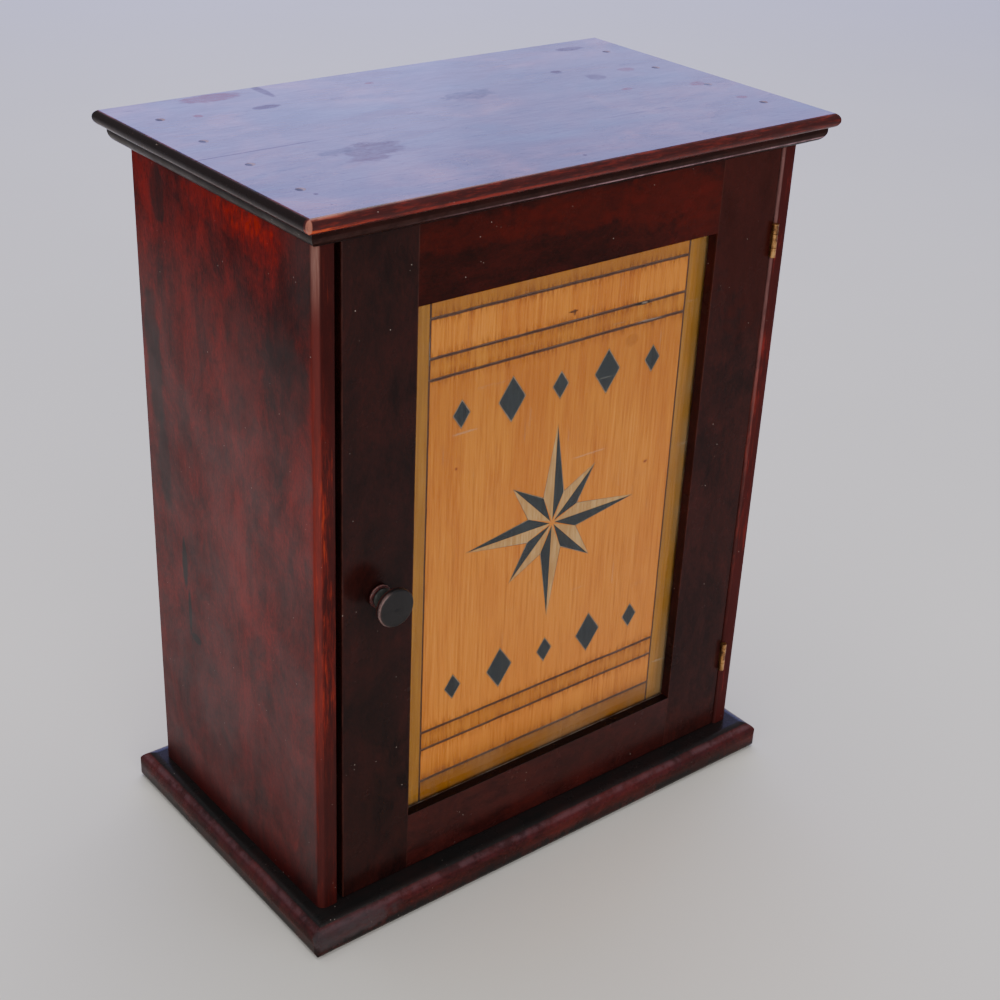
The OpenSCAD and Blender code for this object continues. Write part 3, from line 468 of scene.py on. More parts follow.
@dataclass(frozen=True)
class TopShellac(Shellac):
    """The top: a smooth glossy film with marks, a glue line and worn edges."""

    left: float = -0.1755
    front: float = -0.1045
    surface: float = 0.432
    joint: float = -0.0021
    clear: float = 0.56

    def build(self) -> bpy.types.Material:
        """Build the material.

        Returns:
            The material.
        """
        graph = Graph(self.name)
        colour, dull = self.filmed(graph, self.wood(graph))
        grained = graph.ease(self.noise(graph, 0.35, 420, 6, 0.78), 0.36, 0.6, 0.7, 1.45)
        for spot in self.spots:
            mask = graph.maths("MULTIPLY", graph.times(graph.spot(spot, 160), spot.amount), grained, clamp=True)
            colour = graph.layer(colour, spot.colour, mask)
            dull = graph.most(dull, mask)
        line = graph.times(graph.stroke(Y, self.joint, 0.0003, 0.0003, 0.0002),
                           graph.within(X, -0.18, -0.115, 0.02))
        colour = graph.layer(colour, (0.05, 0.01, 0.006), line)
        film = graph.maths("SUBTRACT", 1, graph.most(dull, line), clamp=True)
        cloud = self.noise(graph, 0.5, 36, 7, 0.7, 0.6)
        film = graph.times(film, graph.ease(cloud, 0.32, 0.68, self.clear * 0.9, self.clear * 1.12),
                           graph.fade(Z, self.surface - 0.0008, self.surface - 0.0001))
        relief = self.relief(graph)
        return graph.finish(self.dusted(graph, self.edged(graph, colour)), self.gloss(graph), relief,
                            Specular_IOR_Level=self.gleam, Coat_Weight=film, Coat_Normal=relief,
                            Coat_Roughness=self.rough)

    def edged(self, graph: Graph, colour: Socket) -> Socket:
        """Wear the moulded edge: red in front with a bright corner, black on the left.

        Args:
            graph: the material being built.
            colour: colour below.

        Returns:
            The colour with its edge.
        """
        top, left, nose = self.surface, self.left, self.front
        front = graph.fade(Y, nose + 0.0046, nose + 0.0032)
        side = graph.fade(X, left + 0.0044, left + 0.003)
        edge = graph.times(graph.most(front, side), graph.fade(Z, top - 0.0001, top - 0.0006))
        chips = self.noise(graph, 0.12, 640, 5, 0.72)
        wear = graph.mixed((chips, 0.6), (self.noise(graph, 0.3, 60, 4, 0.65), 0.4))
        near = graph.fade(X, left + 0.04, left + 0.005)
        low = graph.stroke(Z, top - 0.0058, 0.0004, 0.0008, 0.0004)
        fore = graph.times(low, front)
        rim = graph.times(graph.fade(Z, top - 0.0015, top - 0.0006),
                          graph.fade(Y, nose + 0.0034, nose + 0.0022))
        place = (left + 0.001, nose + 0.001, top - 0.003)
        corner = graph.spot(Spot(place, (0.0017, 0.0017, 0.0048), ragged=0.12), 500)
        black = graph.times(side, edge, graph.maths("SUBTRACT", 1, front), graph.maths("SUBTRACT", 1, corner))
        return graph.layers(
            colour,
            ((0.045, 0.012, 0.0115), edge, 0.92),
            ((0.145, 0.02, 0.016), front, graph.ease(chips, 0.46, 0.68), 0.65),
            ((0.24, 0.022, 0.014), fore, graph.fade(X, 0.06, -0.12, 0.3, 1),
             graph.ease(wear, 0.4, 0.56, 0.1, 0.8)),
            ((0.46, 0.07, 0.02), fore, near, graph.ease(chips, 0.42, 0.6, 0.1, 0.8)),
            ((0.2, 0.03, 0.025), rim, graph.ease(wear, 0.5, 0.62, 0, 0.4)),
            ((0.42, 0.12, 0.085), rim, near, graph.ease(chips, 0.38, 0.56, 0.15, 0.65)),
            ((0.45, 0.17, 0.12), corner, 0.65),
            ((0.013, 0.008, 0.008), black, 0.97),
            ((0.05, 0.02, 0.014), black, low, graph.ease(wear, 0.4, 0.6), 0.6),
            ((0.25, 0.15, 0.12), black, graph.ease(chips, 0.66, 0.72), 0.6),
        )

    def filmed(self, graph: Graph, colour: Socket) -> tuple[Socket, Socket]:
        """Lay the uneven film over the wood: pinkish and bluish clouds with fine scuffs.

        Args:
            graph: the material being built.
            colour: colour of the wood.

        Returns:
            The colour with its film, and how dull the film is.
        """
        broad = self.noise(graph, 0.6, 26, 8, 0.68, 0.8)
        scuff = graph.ease(self.noise(graph, 0.15, 300, 6, 0.78), 0.56, 0.7)
        pits = graph.times(graph.ease(self.noise(graph, 0.6, 560, 3, 0.7), 0.63, 0.7),
                           graph.fade(Y, 0.03, -0.1, 0.2, 1))
        colour = graph.layers(
            colour,
            ((0.3, 0.1, 0.12), graph.ease(broad, 0.48, 0.72, 0, 0.5)),
            ((0.01, 0.025, 0.06), graph.ease(broad, 0.5, 0.3, 0, 0.7)),
            ((0.012, 0.006, 0.008), scuff, 0.6),
            ((0.015, 0.006, 0.006), pits),
        )
        worn = graph.ease(self.noise(graph, 0.5, 48, 8, 0.78, 0.5), 0.56, 0.74, 0, 0.25)
        return colour, graph.most(worn, graph.most(graph.times(scuff, 0.4), pits))

    def relief(self, graph: Graph) -> Socket:
        """Build the surface of the film: pores, sags and faint steps of the grain."""
        pores = graph.bump(self.noise(graph, 0.1, 900, 4, 0.7), 0.00005, 0.45)
        return graph.bump(self.noise(graph, 0.35, 70, 5, 0.62), 0.0005, 0.35, pores)

    def gloss(self, graph: Graph) -> Socket:
        """Build the roughness of the film, duller where it is rubbed."""
        return graph.ease(self.noise(graph, 0.4, 30, 6, 0.68), 0.35, 0.7, self.rough * 0.85, self.rough * 1.6)


@dataclass(frozen=True)
class PaintedBand:
    """A level line or band of painted light and shade on a moulded edge."""

    place: float
    half: float
    colour: Colour
    amount: float
    soft: float = 0.0005
    start: float = -2.0
    full: float = -1.0


@dataclass(frozen=True)
class PaintedBandShellac(Shellac):
    """A moulded edge with painted highlights, reflections and shadows laid over its colour in level bands."""

    painted_bands: tuple[PaintedBand, ...] = ()

    def marked(self, graph: Graph, colour: Socket) -> Socket:
        """Lay the painted light and shade bands over the colour, under the piece's own patches.

        Args:
            graph: the material being built.
            colour: colour below.

        Returns:
            The colour with its painted bands and patches.
        """
        broken = graph.ease(graph.noise(graph.place, 90, 5, 0.72), 0.4, 0.6, 0.3, 1)
        for band in self.painted_bands:
            colour = graph.layer(colour, band.colour, graph.stroke(Z, band.place, band.half, band.soft), broken,
                                 graph.fade(X, band.start, band.full, 0, band.amount))
        return super().marked(graph, colour)


@dataclass(frozen=True)
class SidePanelShellac(Shellac):
    """A side panel: streaky red, worn along its rounded front edge, with painted shade towards its foot, a painted
    reflection of the floor and painted highlights on its front edges.
    """

    outer: float = -0.162
    front: float = -0.088
    shade: Colour = (0.032, 0.0065, 0.006)
    rubbed: Colour = (0.2, 0.02, 0.014)
    # Colour of the painted highlight on the rounded front edge near the top.
    band: Colour = (0.21, 0.11, 0.092)
    # Amount of the pale layer that paints the reflection of the floor on the lower part of the side.
    pale_layer: float = 0.25

    def painted(self, graph: Graph) -> Socket:
        """Build the colour under the dust.

        Args:
            graph: the material being built.

        Returns:
            The colour.
        """
        height, depth = graph.axis(Z), graph.axis(Y)
        outer, front = self.outer, self.front
        # Painted shade: the panel darkens towards its foot; its front part near the top is darker as well.
        colour = graph.layers(
            super().painted(graph),
            ((0.5, 0.5, 0.5), graph.ease(height, 0.17, 0.05, 0, 0.85)),
            ((0.5, 0.6, 0.6), graph.ease(depth, -0.05, -0.08), graph.ease(height, 0.3, 0.38)),
            blend=Blend.MULTIPLY)
        # Painted reflection of the floor: a pale layer over the lower part of the side and, fainter, over its front.
        cloud = graph.noise(graph.mapped(shift=(4, self.seed, 2)), 14, 5, 0.6)
        colour = graph.layer(
            colour, (0.2, 0.17, 0.17),
            graph.most(graph.ease(height, 0.412, 0.28), graph.ease(depth, -0.05, -0.08, 0, 0.4)),
            graph.ease(height, 0.02, 0.2, 0.8, 1), graph.ease(depth, front, 0.06, 0.95, 1.1),
            graph.ease(cloud, 0.3, 0.7, 0.7, 1.25), self.pale_layer)
        # Painted shadow just above the base: darker and redder.
        foot = graph.ease(height, 0.046, 0.021, 0, 0.9)
        colour = graph.layer(colour, (0.42, 0.16, 0.16), foot, blend=Blend.MULTIPLY)
        face = graph.ease(depth, front + 0.0042, front + 0.0026)
        chips = self.noise(graph, 0.1, 520, 6, 0.75)
        fibre = self.noise(graph, 0.05, 1300, 3, 0.65)
        wear = graph.mixed((chips, 0.6), (self.noise(graph, 0.3, 70, 4, 0.65), 0.4))
        handled = graph.times(graph.within(Z, 0.15, 0.25, 0.08), graph.fade(X, outer + 0.011, outer + 0.001),
                              0.07)
        worn = graph.times(face, graph.ease(graph.maths("ADD", wear, handled), 0.44, 0.64),
                           graph.ease(graph.within(Z, 0.165, 0.29, 0.06), 0, 1, 0.18, 1),
                           graph.ease(fibre, 0.35, 0.65, 0.35, 1))
        nose = graph.times(graph.stroke(X, outer + 0.0015, 0.0008, 0.0014), face)
        right = graph.times(graph.fade(X, -outer - 0.011, -outer - 0.0095), face)
        return graph.layers(
            colour,
            (self.shade, face, 0.85),
            (self.rubbed, worn, 0.95),
            ((0.42, 0.06, 0.02), worn, graph.ease(fibre, 0.56, 0.7), 0.5),
            ((0.17, 0.04, 0.036), nose, graph.ease(height, 0.06, 0.24, 0.12, 0.45)),
            # Painted highlight on the rounded front edge near the top.
            (self.band, nose, graph.ease(height, 0.368, 0.408), graph.ease(fibre, 0.3, 0.65, 0.55, 1), 0.9),
            (self.rubbed, graph.stroke(X, outer + 0.0002, 0.0003, 0.0006),
             graph.ease(depth, front + 0.0065, front + 0.0045), graph.ease(wear, 0.42, 0.56),
             graph.within(Z, 0.06, 0.34, 0.05), 0.3),
            ((0.06, 0.011, 0.011), right, 0.6),
            ((0.26, 0.025, 0.026), right, graph.ease(wear, 0.54, 0.64), 0.45),
            # Painted highlight along the inner arris of the right panel's front edge, stronger higher up.
            ((0.24, 0.125, 0.12), graph.stroke(X, -outer - 0.0113, 0.0004, 0.0006), face,
             graph.ease(height, 0.12, 0.4, 0.04, 0.6), graph.ease(chips, 0.3, 0.6, 0.45, 1)),
        )


@dataclass(frozen=True)
class KnobShellac(Shellac):
    """The knob: charcoal on its face, reddish behind, worn on the bead at its foot, with painted highlights on its rim
    and bead and a painted reflection on its neck.
    """

    face: float = -0.1045
    middle: float = -0.1238

    def painted(self, graph: Graph) -> Socket:
        """Build the colour under the dust.

        Args:
            graph: the material being built.

        Returns:
            The colour.
        """
        face, depth = self.face, graph.axis(Y)
        chips = graph.noise(graph.place, 900, 4, 0.7)
        outer = graph.fade(X, self.middle - 0.002, self.middle - 0.0075)
        return graph.layers(
            self.wood(graph),
            # Painted highlight on the left of the rim.
            ((0.2, 0.12, 0.11), graph.ease(depth, face + 0.0002, face + 0.0006),
             graph.ease(depth, face + 0.0024, face + 0.0014),
             graph.times(outer, graph.ease(chips, 0.3, 0.6, 0.4, 1)), 0.8),
            ((0.075, 0.018, 0.015), graph.ease(depth, face + 0.0024, face + 0.0034),
             graph.ease(depth, face + 0.0068, face + 0.0056), 0.85),
            # Painted greenish-grey reflection on the neck.
            ((0.05, 0.052, 0.046), graph.ease(depth, face + 0.0066, face + 0.0078),
             graph.ease(depth, face + 0.0138, face + 0.013), 0.8),
            ((0.12, 0.014, 0.012), graph.ease(depth, face + 0.0135, face + 0.0142),
             graph.ease(chips, 0.36, 0.56), 0.55),
            # Painted highlight line on the bead at the foot, strongest on top.
            ((0.4, 0.22, 0.2), graph.stroke(Y, face + 0.0152, 0.0001, 0.0004),
             graph.ease(chips, 0.35, 0.6, 0.2, 1), graph.fade(Z, 0.2136, 0.216, 0.15, 1), 0.55),
        )


@dataclass(frozen=True)
class PanelVarnish:
    """The amber panel: fine upright grain, cut lines and darker bands; its back is plain."""

    name: str
    left: float
    right: float
    rows: tuple[float, ...]
    middle: float
    spots: tuple[Spot, ...] = ()
    amber: Colour = (0.54, 0.145, 0.006)
    pale: Colour = (0.7, 0.225, 0.015)
    band: Colour = (0.73, 0.77, 0.65)
    border: Colour = (0.29, 0.118, 0.013)
    cut: Colour = (0.075, 0.028, 0.018)
    groove: Colour = (0.2, 0.12, 0.09)
    soft: float = 0.0004

    def build(self) -> bpy.types.Material:
        """Build the material.

        Returns:
            The material.
        """
        graph = Graph(self.name)
        soft = self.soft
        grain = graph.grained(Z, 0.035, 620, 5, 0.65)
        cloud = graph.grained(Z, 0.35, 26, 5, 0.62, 0.4)
        pore = graph.grained(Z, 0.03, 760, 5, 0.75)
        colour = graph.layers(
            self.amber,
            (self.pale, graph.ease(graph.mixed((grain, 0.5), (cloud, 0.5)), 0.37, 0.63)),
            ((0.72, 0.21, 0.018), graph.fade(Z, 0.3, 0.12, 0, 0.5)),
            ((0.3, 0.065, 0.003), graph.ease(pore, 0.47, 0.66, 0, 0.5)),
            ((0.85, 0.33, 0.04), graph.ease(pore, 0.45, 0.34, 0, 0.28)),
        )
        plain = graph.layer(colour, (0.16, 0.07, 0.022), 0.6)
        first, second, third, fourth, fifth, sixth = self.rows
        colour = graph.layer(colour, (0.36, 0.1, 0.006), graph.fade(Z, 0.24, 0.33, 0, 0.35),
                             graph.within(Z, fifth, third, 0.0005))
        strips = ((third, second, 0.75), (fifth, fourth, 0.8), (first, 1, 0.9), (-1, sixth, 0.9))
        for low, high, amount in strips:
            strip = graph.within(Z, low, high, soft)
            colour = graph.layer(colour, self.band, strip, amount, blend=Blend.MULTIPLY)
        ends = graph.most(graph.within(Z, first, 1, soft), graph.within(Z, -1, sixth, soft))
        colour = graph.layer(colour, (0.3, 0.118, 0.014), ends, 0.5)
        foot = graph.fade(Z, sixth + 0.016, sixth - 0.001, 0, 0.75)
        colour = graph.layer(colour, (0.62, 0.64, 0.7), foot, blend=Blend.MULTIPLY)
        fibre = graph.noise(graph.mapped((1, 1, 0.12), (3, 0, 0)), 640, 4, 0.75)
        inside = graph.within(X, self.left, self.right, soft)
        burnt = graph.most(*(graph.stroke(Z, row, 0.0001, 0.007, 0.001) for row in self.rows))
        lines = graph.most(
            *(graph.times(graph.stroke(Z, row, 0.0007, 0.0005, 0.0005), inside) for row in self.rows),
            *(graph.stroke(X, column, 0.0005, 0.0003, 0.0003) for column in (self.left, self.right)))
        cores = graph.most(
            *(graph.times(graph.stroke(Z, row + 0.0001, 0.0001, 0.0004, 0.0004), inside) for row in self.rows))
        shine = graph.ease(graph.noise(graph.place, 42, 4, 0.7), 0.42, 0.6, 0.1, 0.8)
        tint = graph.layer(self.border, (0.38, 0.16, 0.02), graph.ease(grain, 0.4, 0.65))
        colour = graph.layers(
            colour,
            ((0.13, 0.03, 0.004), burnt, graph.ease(fibre, 0.42, 0.62), 0.7),
            (tint, graph.maths("SUBTRACT", 1, inside), 0.95),
            (self.cut, lines, graph.ease(fibre, 0.25, 0.5, 0.75, 0.97)),
            (self.groove, cores, shine),
            ((0.22, 0.115, 0.034), graph.fade(X, self.right + 0.005, self.right + 0.0105, 0, 0.7)),
            *((spot.colour, graph.spot(spot, 700), spot.amount) for spot in self.spots),
            (plain, graph.fade(Y, self.middle, self.middle + 0.0003)),
        )
        return graph.finish(colour, graph.ease(cloud, 0.3, 0.7, 0.38, 0.52), graph.bump(grain, 0.00006, 0.5),
                            Specular_IOR_Level=0.06)


@dataclass(frozen=True)
class Veneer:
    """Thin dyed or light veneer let into the panel."""

    name: str
    dark: Colour
    light: Colour
    rough: float = 0.42

    def build(self) -> bpy.types.Material:
        """Build the material.

        Returns:
            The material.
        """
        graph = Graph(self.name)
        grain = graph.grained(Z, 0.06, 800, 4, 0.6)
        cloud = graph.noise(graph.place, 60, 4, 0.6)
        colour = graph.layers(self.dark, (self.light, graph.ease(grain, 0.35, 0.68)),
                              (self.dark, graph.ease(cloud, 0.35, 0.75, 0, 0.6)))
        return graph.finish(colour, graph.ease(cloud, 0.3, 0.7, self.rough * 0.85, self.rough * 1.2),
                            graph.bump(grain, 0.00005, 0.5), Specular_IOR_Level=0.12)


@dataclass(frozen=True)
class OldGlass:
    """Clear glass with fine scratches and a grey film along its edges."""

    name: str
    low: Vector
    high: Vector

    def build(self) -> bpy.types.Material:
        """Build the material.

        Returns:
            The material.
        """
        graph = Graph(self.name)
        rising = graph.noise(graph.mapped((1, 1, 0.04), turn=(0, 0.7, 0)), 420, 2)
        level = graph.noise(graph.mapped((0.05, 1, 1), turn=(0, 0.4, 0)), 380, 2)
        scratches = graph.most(graph.ease(rising, 0.72, 0.76), graph.ease(level, 0.73, 0.77))
        edges = graph.most(graph.fade(X, self.high.x - 0.022, self.high.x - 0.004),
                           graph.fade(Z, self.low.z + 0.026, self.low.z + 0.006))
        film = graph.times(edges, graph.ease(graph.noise(graph.place, 30, 5, 0.65), 0.35, 0.65), 0.045)
        pale_layer = graph.maths("ADD", film, graph.times(scratches, 0.14), clamp=True)
        slant = graph.node("ShaderNodeLayerWeight", {"Blend": 0.5}).outputs["Facing"]
        mirror = graph.maths("MULTIPLY_ADD", graph.maths("POWER", slant, 5), 0.5, 0.02)
        pane = graph.node("ShaderNodeBsdfTransparent", {"Color": (0.97, 0.985, 0.975)}).outputs[0]
        sheen = graph.node("ShaderNodeBsdfGlossy", {"Roughness": 0.04}).outputs[0]
        clear = graph.node("ShaderNodeMixShader", {0: mirror, 1: pane, 2: sheen}).outputs[0]
        graph.finish((0.6, 0.58, 0.5), 0.7)
        dusty = graph.node("ShaderNodeMixShader", {0: pale_layer, 1: clear, 2: graph.shader.outputs[0]})
        graph.feed(graph.output.inputs["Surface"], dusty.outputs[0])
        return graph.material


@dataclass(frozen=True)
class OldMetal:
    """Brass or steel, tarnished in clouds and brighter where it rubs."""

    name: str
    bright: Colour
    tarnish: Colour
    rough: float = 0.38

    def build(self) -> bpy.types.Material:
        """Build the material.

        Returns:
            The material.
        """
        graph = Graph(self.name)
        cloud = graph.noise(graph.place, 260, 5, 0.65)
        fine = graph.noise(graph.place, 1600, 3, 0.6)
        colour = graph.layer(self.bright, self.tarnish, graph.ease(cloud, 0.36, 0.66))
        rough = graph.ease(cloud, 0.35, 0.7, self.rough * 0.8, self.rough * 1.5)
        return graph.finish(colour, rough, graph.bump(fine, 0.00003, 0.6), Metallic=0.9)


@dataclass(frozen=True)
class BareWood:
    """Unfinished aged poplar: pale, greyed and grimy in patches."""

    name: str
    grain: Axis
    pale: Colour = (0.36, 0.22, 0.11)
    brown: Colour = (0.2, 0.11, 0.05)
    grime: Colour = (0.07, 0.045, 0.03)

    def build(self) -> bpy.types.Material:
        """Build the material.

        Returns:
            The material.
        """
        graph = Graph(self.name)
        grain = graph.grained(self.grain, 0.06, 420, 5, 0.65)
        figure = graph.grained(self.grain, 0.2, 45, 4, 0.6, 0.8)
        cloud = graph.noise(graph.place, 16, 5, 0.65)
        tone = graph.mixed((grain, 0.45), (figure, 0.55))
        colour = graph.layers(self.brown, (self.pale, graph.ease(tone, 0.34, 0.66)),
                              (self.grime, graph.ease(cloud, 0.5, 0.8, 0, 0.6)))
        return graph.finish(colour, graph.ease(cloud, 0.3, 0.7, 0.6, 0.78), graph.bump(grain, 0.00012, 0.6))


class Palette:
    """Builds each finish once and hands its material out."""

    def __init__(self) -> None:
        """Start with no finishes made."""
        self.made: dict[str, bpy.types.Material] = {}

    def get(self, finish: Finish) -> bpy.types.Material:
        """Give the material of a finish.

        Args:
            finish: the finish; its name tells whether it is made already.

        Returns:
            Its material.
        """
        if finish.name not in self.made:
            self.made[finish.name] = finish.build()
        return self.made[finish.name]


PALETTE = Palette()


def add_modifier(piece: bpy.types.Object, name: str, kind: str, **settings: object) -> None:
    """Add a modifier to a piece.

    Args:
        piece: the piece.
        name: name of the modifier.
        kind: type name of the modifier.
        settings: properties of the modifier.
    """
    made = piece.modifiers.new(name, kind)
    for key, value in settings.items():
        setattr(made, key, value)


def add_object(name: str, data: bpy.types.ID) -> bpy.types.Object:
    """Make an object and put it in the scene.

    Args:
        name: name of the object.
        data: its mesh, light or camera.

    Returns:
        The object.
    """
    made = bpy.data.objects.new(name, data)
    bpy.context.scene.collection.objects.link(made)
    return made


def add_mesh(name: str, shape: bmesh.types.BMesh, material: bpy.types.Material) -> bpy.types.Object:
    """Make an object of a new shape.

    Args:
        name: name of the object and its mesh.
        shape: the shape, which is used up.
        material: its one material.

    Returns:
        The object.
    """
    mesh = bpy.data.meshes.new(name)
    shape.to_mesh(mesh)
    shape.free()
    mesh.materials.append(material)
    return add_object(name, mesh)


def dress(finish: Finish, *nodes: str, arris: float = 0.0) -> None:
    """Give CAD nodes their finish and soften their arrises.

    Args:
        finish: the finish they get.
        nodes: names of the CAD nodes.
        arris: width of the softened edges, 0 for none.
    """
    for node in nodes:
        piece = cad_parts[node]
        piece.data.materials.clear()
        piece.data.materials.append(PALETTE.get(finish))
        if arris:
            add_modifier(piece, "weld", "WELD", merge_threshold=WELD)
            add_modifier(piece, "arris", "BEVEL", width=arris, segments=ARRIS_FACES, limit_method="ANGLE",
                         angle_limit=SHARP)
        LOG.info("dressed %s in %s", node, finish.name)


@dataclass
class Carcass:
    """Top, mould, sides, base, back and pigeonholes."""

    # Near black: black stains on the sides, and painted shadow on the mould and at the foot of the base.
    black: Colour = (0.012, 0.009, 0.009)
    plug_radius: float = 2.6 * MM
    plug_rows: int = 4

    def dress_top(self) -> None:
        """Dress the two boards of the top and their plugs, each plug with a dark crescent."""
        low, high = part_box("top_board_front")
        depth = 4 * MM
        dark, rust, stain = (0.05, 0.015, 0.016), (0.16, 0.035, 0.033), (0.03, 0.03, 0.05)
        spots = spots_on(Z, high.z, depth, (
            (-111, 93.5, 18, 7.5, (0.13, 0.03, 0.033), 0.9, 0.35),
            (-93.5, 63.5, 8.5, 3.5, dark, 0.95, 0.5),
            (-79, 93, 3, 14, dark, 0.85, 0.4),
            (-134, 66, 3, 3, rust, 0.8, 0.5),
            (-89, -29, 18, 12, (0.07, 0.03, 0.03), 0.65, 0.8),
            (-98, -40, 12, 6, (0.08, 0.03, 0.03), 0.6, 0.7),
            (-106, -24, 12, 4, (0.03, 0.03, 0.04), 0.4, 0.8),
            (16, 30, 18, 8, stain, 0.5, 0.8),
            (-17.6, 78, 3, 2, rust, 0.7, 0.5),
            (137.7, 86, 11, 4, dark, 0.7, 0.5),
            (93.3, 45.6, 4, 3, dark, 0.8, 0.4),
            (106.6, 25, 6, 6, dark, 0.5, 0.5),
            (104.3, -4.5, 4, 2, rust, 0.7, 0.5),
            (135, 30, 6, 4, rust, 0.6, 0.5),
            (149, -16, 6, 4, rust, 0.6, 0.5),
            (151, -50, 4, 3, rust, 0.6, 0.5),
            (-151.7, -74.2, 1.2, 1.2, dark, 1, 0.2),
            (-2.5, -90.9, 1.2, 1.2, dark, 1, 0.2),
            (65, -45, 18, 0.7, dark, 0.35, 0.3),
            (-118, -65, 16, 0.7, dark, 0.3, 0.4),
        ))
        top = TopShellac("top shellac", X, deep=(0.014, 0.006, 0.009), body=(0.05, 0.015, 0.02),
                         bright=(0.1, 0.03, 0.034), figure=0.6, rough=0.2, gleam=0.1, seed=2, spots=spots,
                         left=low.x, front=low.y, surface=high.z, joint=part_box("top_board_rear")[0].y)
        dress(top, "top_board_front", "top_board_rear")
        low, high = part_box("top_plugs")
        step = (high.y - low.y - 2 * self.plug_radius) / (self.plug_rows - 1)
        crescents = tuple(
            Spot((column - 0.0012, low.y + self.plug_radius + row * step - 0.0004, high.z),
                 (0.0019, 0.0026, depth), (0.01, 0.005, 0.006), 0.95, 0.15)
            for column in (low.x + self.plug_radius, high.x - self.plug_radius) for row in range(self.plug_rows))
        plugs = Shellac("plug shellac", Y, deep=(0.05, 0.02, 0.02), body=(0.2, 0.1, 0.1),
                        bright=(0.35, 0.22, 0.2), rough=0.45, gleam=0.3, seed=9, spots=crescents)
        dress(plugs, "top_plugs")

    def dress_sides(self) -> None:
        """Dress the side panels; the patches are those of the left one, the one seen most."""
        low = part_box("side_left")[0]
        glow, ember, black = (0.34, 0.006, 0.002), (0.5, 0.02, 0.004), self.black
        spots = spots_on(X, low.x, 20 * MM, (
            (-12, 407, 46, 11, glow, 0.31, 0.7, 0.75),
            (-40, 398, 20, 13, glow, 0.3, 0.8, 0.8),
            (-30, 407, 20, 7, ember, 0.26, 0.8, 0.97),
            (-8, 411, 12, 5, ember, 0.2, 0.8, 0.97),
            (76, 300, 9, 45, black, 0.75, 0.6),
            (70, 235, 7, 30, black, 0.7, 0.6),
            (62, 395, 8, 16, black, 0.6, 0.6),
            (-60, 335, 22, 30, black, 0.45, 0.6),
            (-20, 330, 20, 45, black, 0.35, 0.6),
            (52.5, 178, 3, 17, black, 1, 0.35),
            (49, 146, 2, 16, black, 1, 0.3),
            (43, 131, 6, 3.5, black, 1, 0.4),
        ))
        side = SidePanelShellac("side panel shellac", Z, deep=(0.006, 0.0035, 0.0045),
                                body=(0.073, 0.0064, 0.0055), bright=(0.27, 0.01, 0.008), figure=0.95, gleam=0.02,
                                rough=0.35, seed=5, spots=spots, outer=low.x, front=low.y)
        dress(side, "side_left", "side_right")

    def dress_mould(self) -> None:
        """Dress the bed mould with painted light and shade in level bands; its front length is redder than the others.
        """
        low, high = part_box("bed_mould_front")
        mould = PaintedBandShellac(
            "mould shellac", X, deep=(0.004, 0.003, 0.0025), body=(0.012, 0.007, 0.006),
            bright=(0.035, 0.014, 0.011), figure=0.8, rough=0.32, gleam=0.07, seed=4, dust=0.3,
            # Painted light and shade: a highlight line just under the top, a black painted shadow in the hollow, a
            # greyish painted reflection on the round and a highlight line at the foot.
            painted_bands=(
                PaintedBand(high.z - 0.0006, 0.0004, (0.13, 0.115, 0.115), 0.6),
                PaintedBand(high.z - 0.0019, 0.0004, self.black, 0.9),
                PaintedBand(high.z - 0.0042, 0.0013, (0.04, 0.034, 0.028), 0.7),
                PaintedBand(low.z + 0.0008, 0.0004, (0.07, 0.05, 0.05), 0.6),
            ))
        dress(mould, "bed_mould_rear", "bed_mould_left", "bed_mould_right", "header_rail")
        front = PaintedBandShellac(
            "front mould shellac", X, deep=(0.005, 0.003, 0.0025), body=(0.017, 0.006, 0.005),
            bright=(0.04, 0.01, 0.008), figure=0.8, rough=0.34, gleam=0.04, seed=4.5, dust=0.3,
            # Painted light and shade: a mauve highlight line that fades out to the left, a dull red-brown band on the
            # round and painted shadow over the lower part.
            painted_bands=(
                PaintedBand(high.z - 0.0055, 0.0002, (0.4, 0.24, 0.28), 0.9, 0.0005, -0.14, 0.02),
                PaintedBand(high.z - 0.0042, 0.0011, (0.04, 0.018, 0.016), 0.6),
                PaintedBand(low.z + 0.0012, 0.0012, self.black, 0.8, 0.001),
            ))
        dress(front, "bed_mould_front")

    def dress_base(self) -> None:
        """Dress the base board with painted light and shade: a dark painted reflection on its flat, painted shade at
        its foot, painted highlight lines on its round and a painted grey reflection at one corner.
        """
        low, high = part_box("base_board")
        base = PaintedBandShellac(
            "base shellac", X, deep=(0.007, 0.004, 0.004), body=(0.037, 0.0095, 0.0088),
            bright=(0.11, 0.014, 0.012), figure=1, rough=0.24, gleam=0.1, seed=7,
            spots=(
                # Painted reflections: dark greenish grey over the whole flat, grey on the front of the round near the
                # left corner.
                Spot((0.0, 0.0, high.z), (0.5, 0.5, 0.0009), (0.011, 0.0125, 0.0125), 0.85, 0.2),
                Spot((low.x + 0.02, low.y, high.z - 0.006), (0.035, 0.006, 0.007), (0.05, 0.048, 0.053), 0.6, 0.6, 0.3),
            ),
            painted_bands=(
                # Painted shade at the foot, then painted highlight lines on the round.
                PaintedBand(0, 0.004, self.black, 1.6, 0.006),
                PaintedBand(high.z - 0.0022, 0.0003, (0.16, 0.085, 0.1), 0.38, 0.0016),
                PaintedBand(high.z - 0.0042, 0.0004, (0.09, 0.02, 0.028), 0.3, 0.002),
            ))
        dress(base, "base_board")

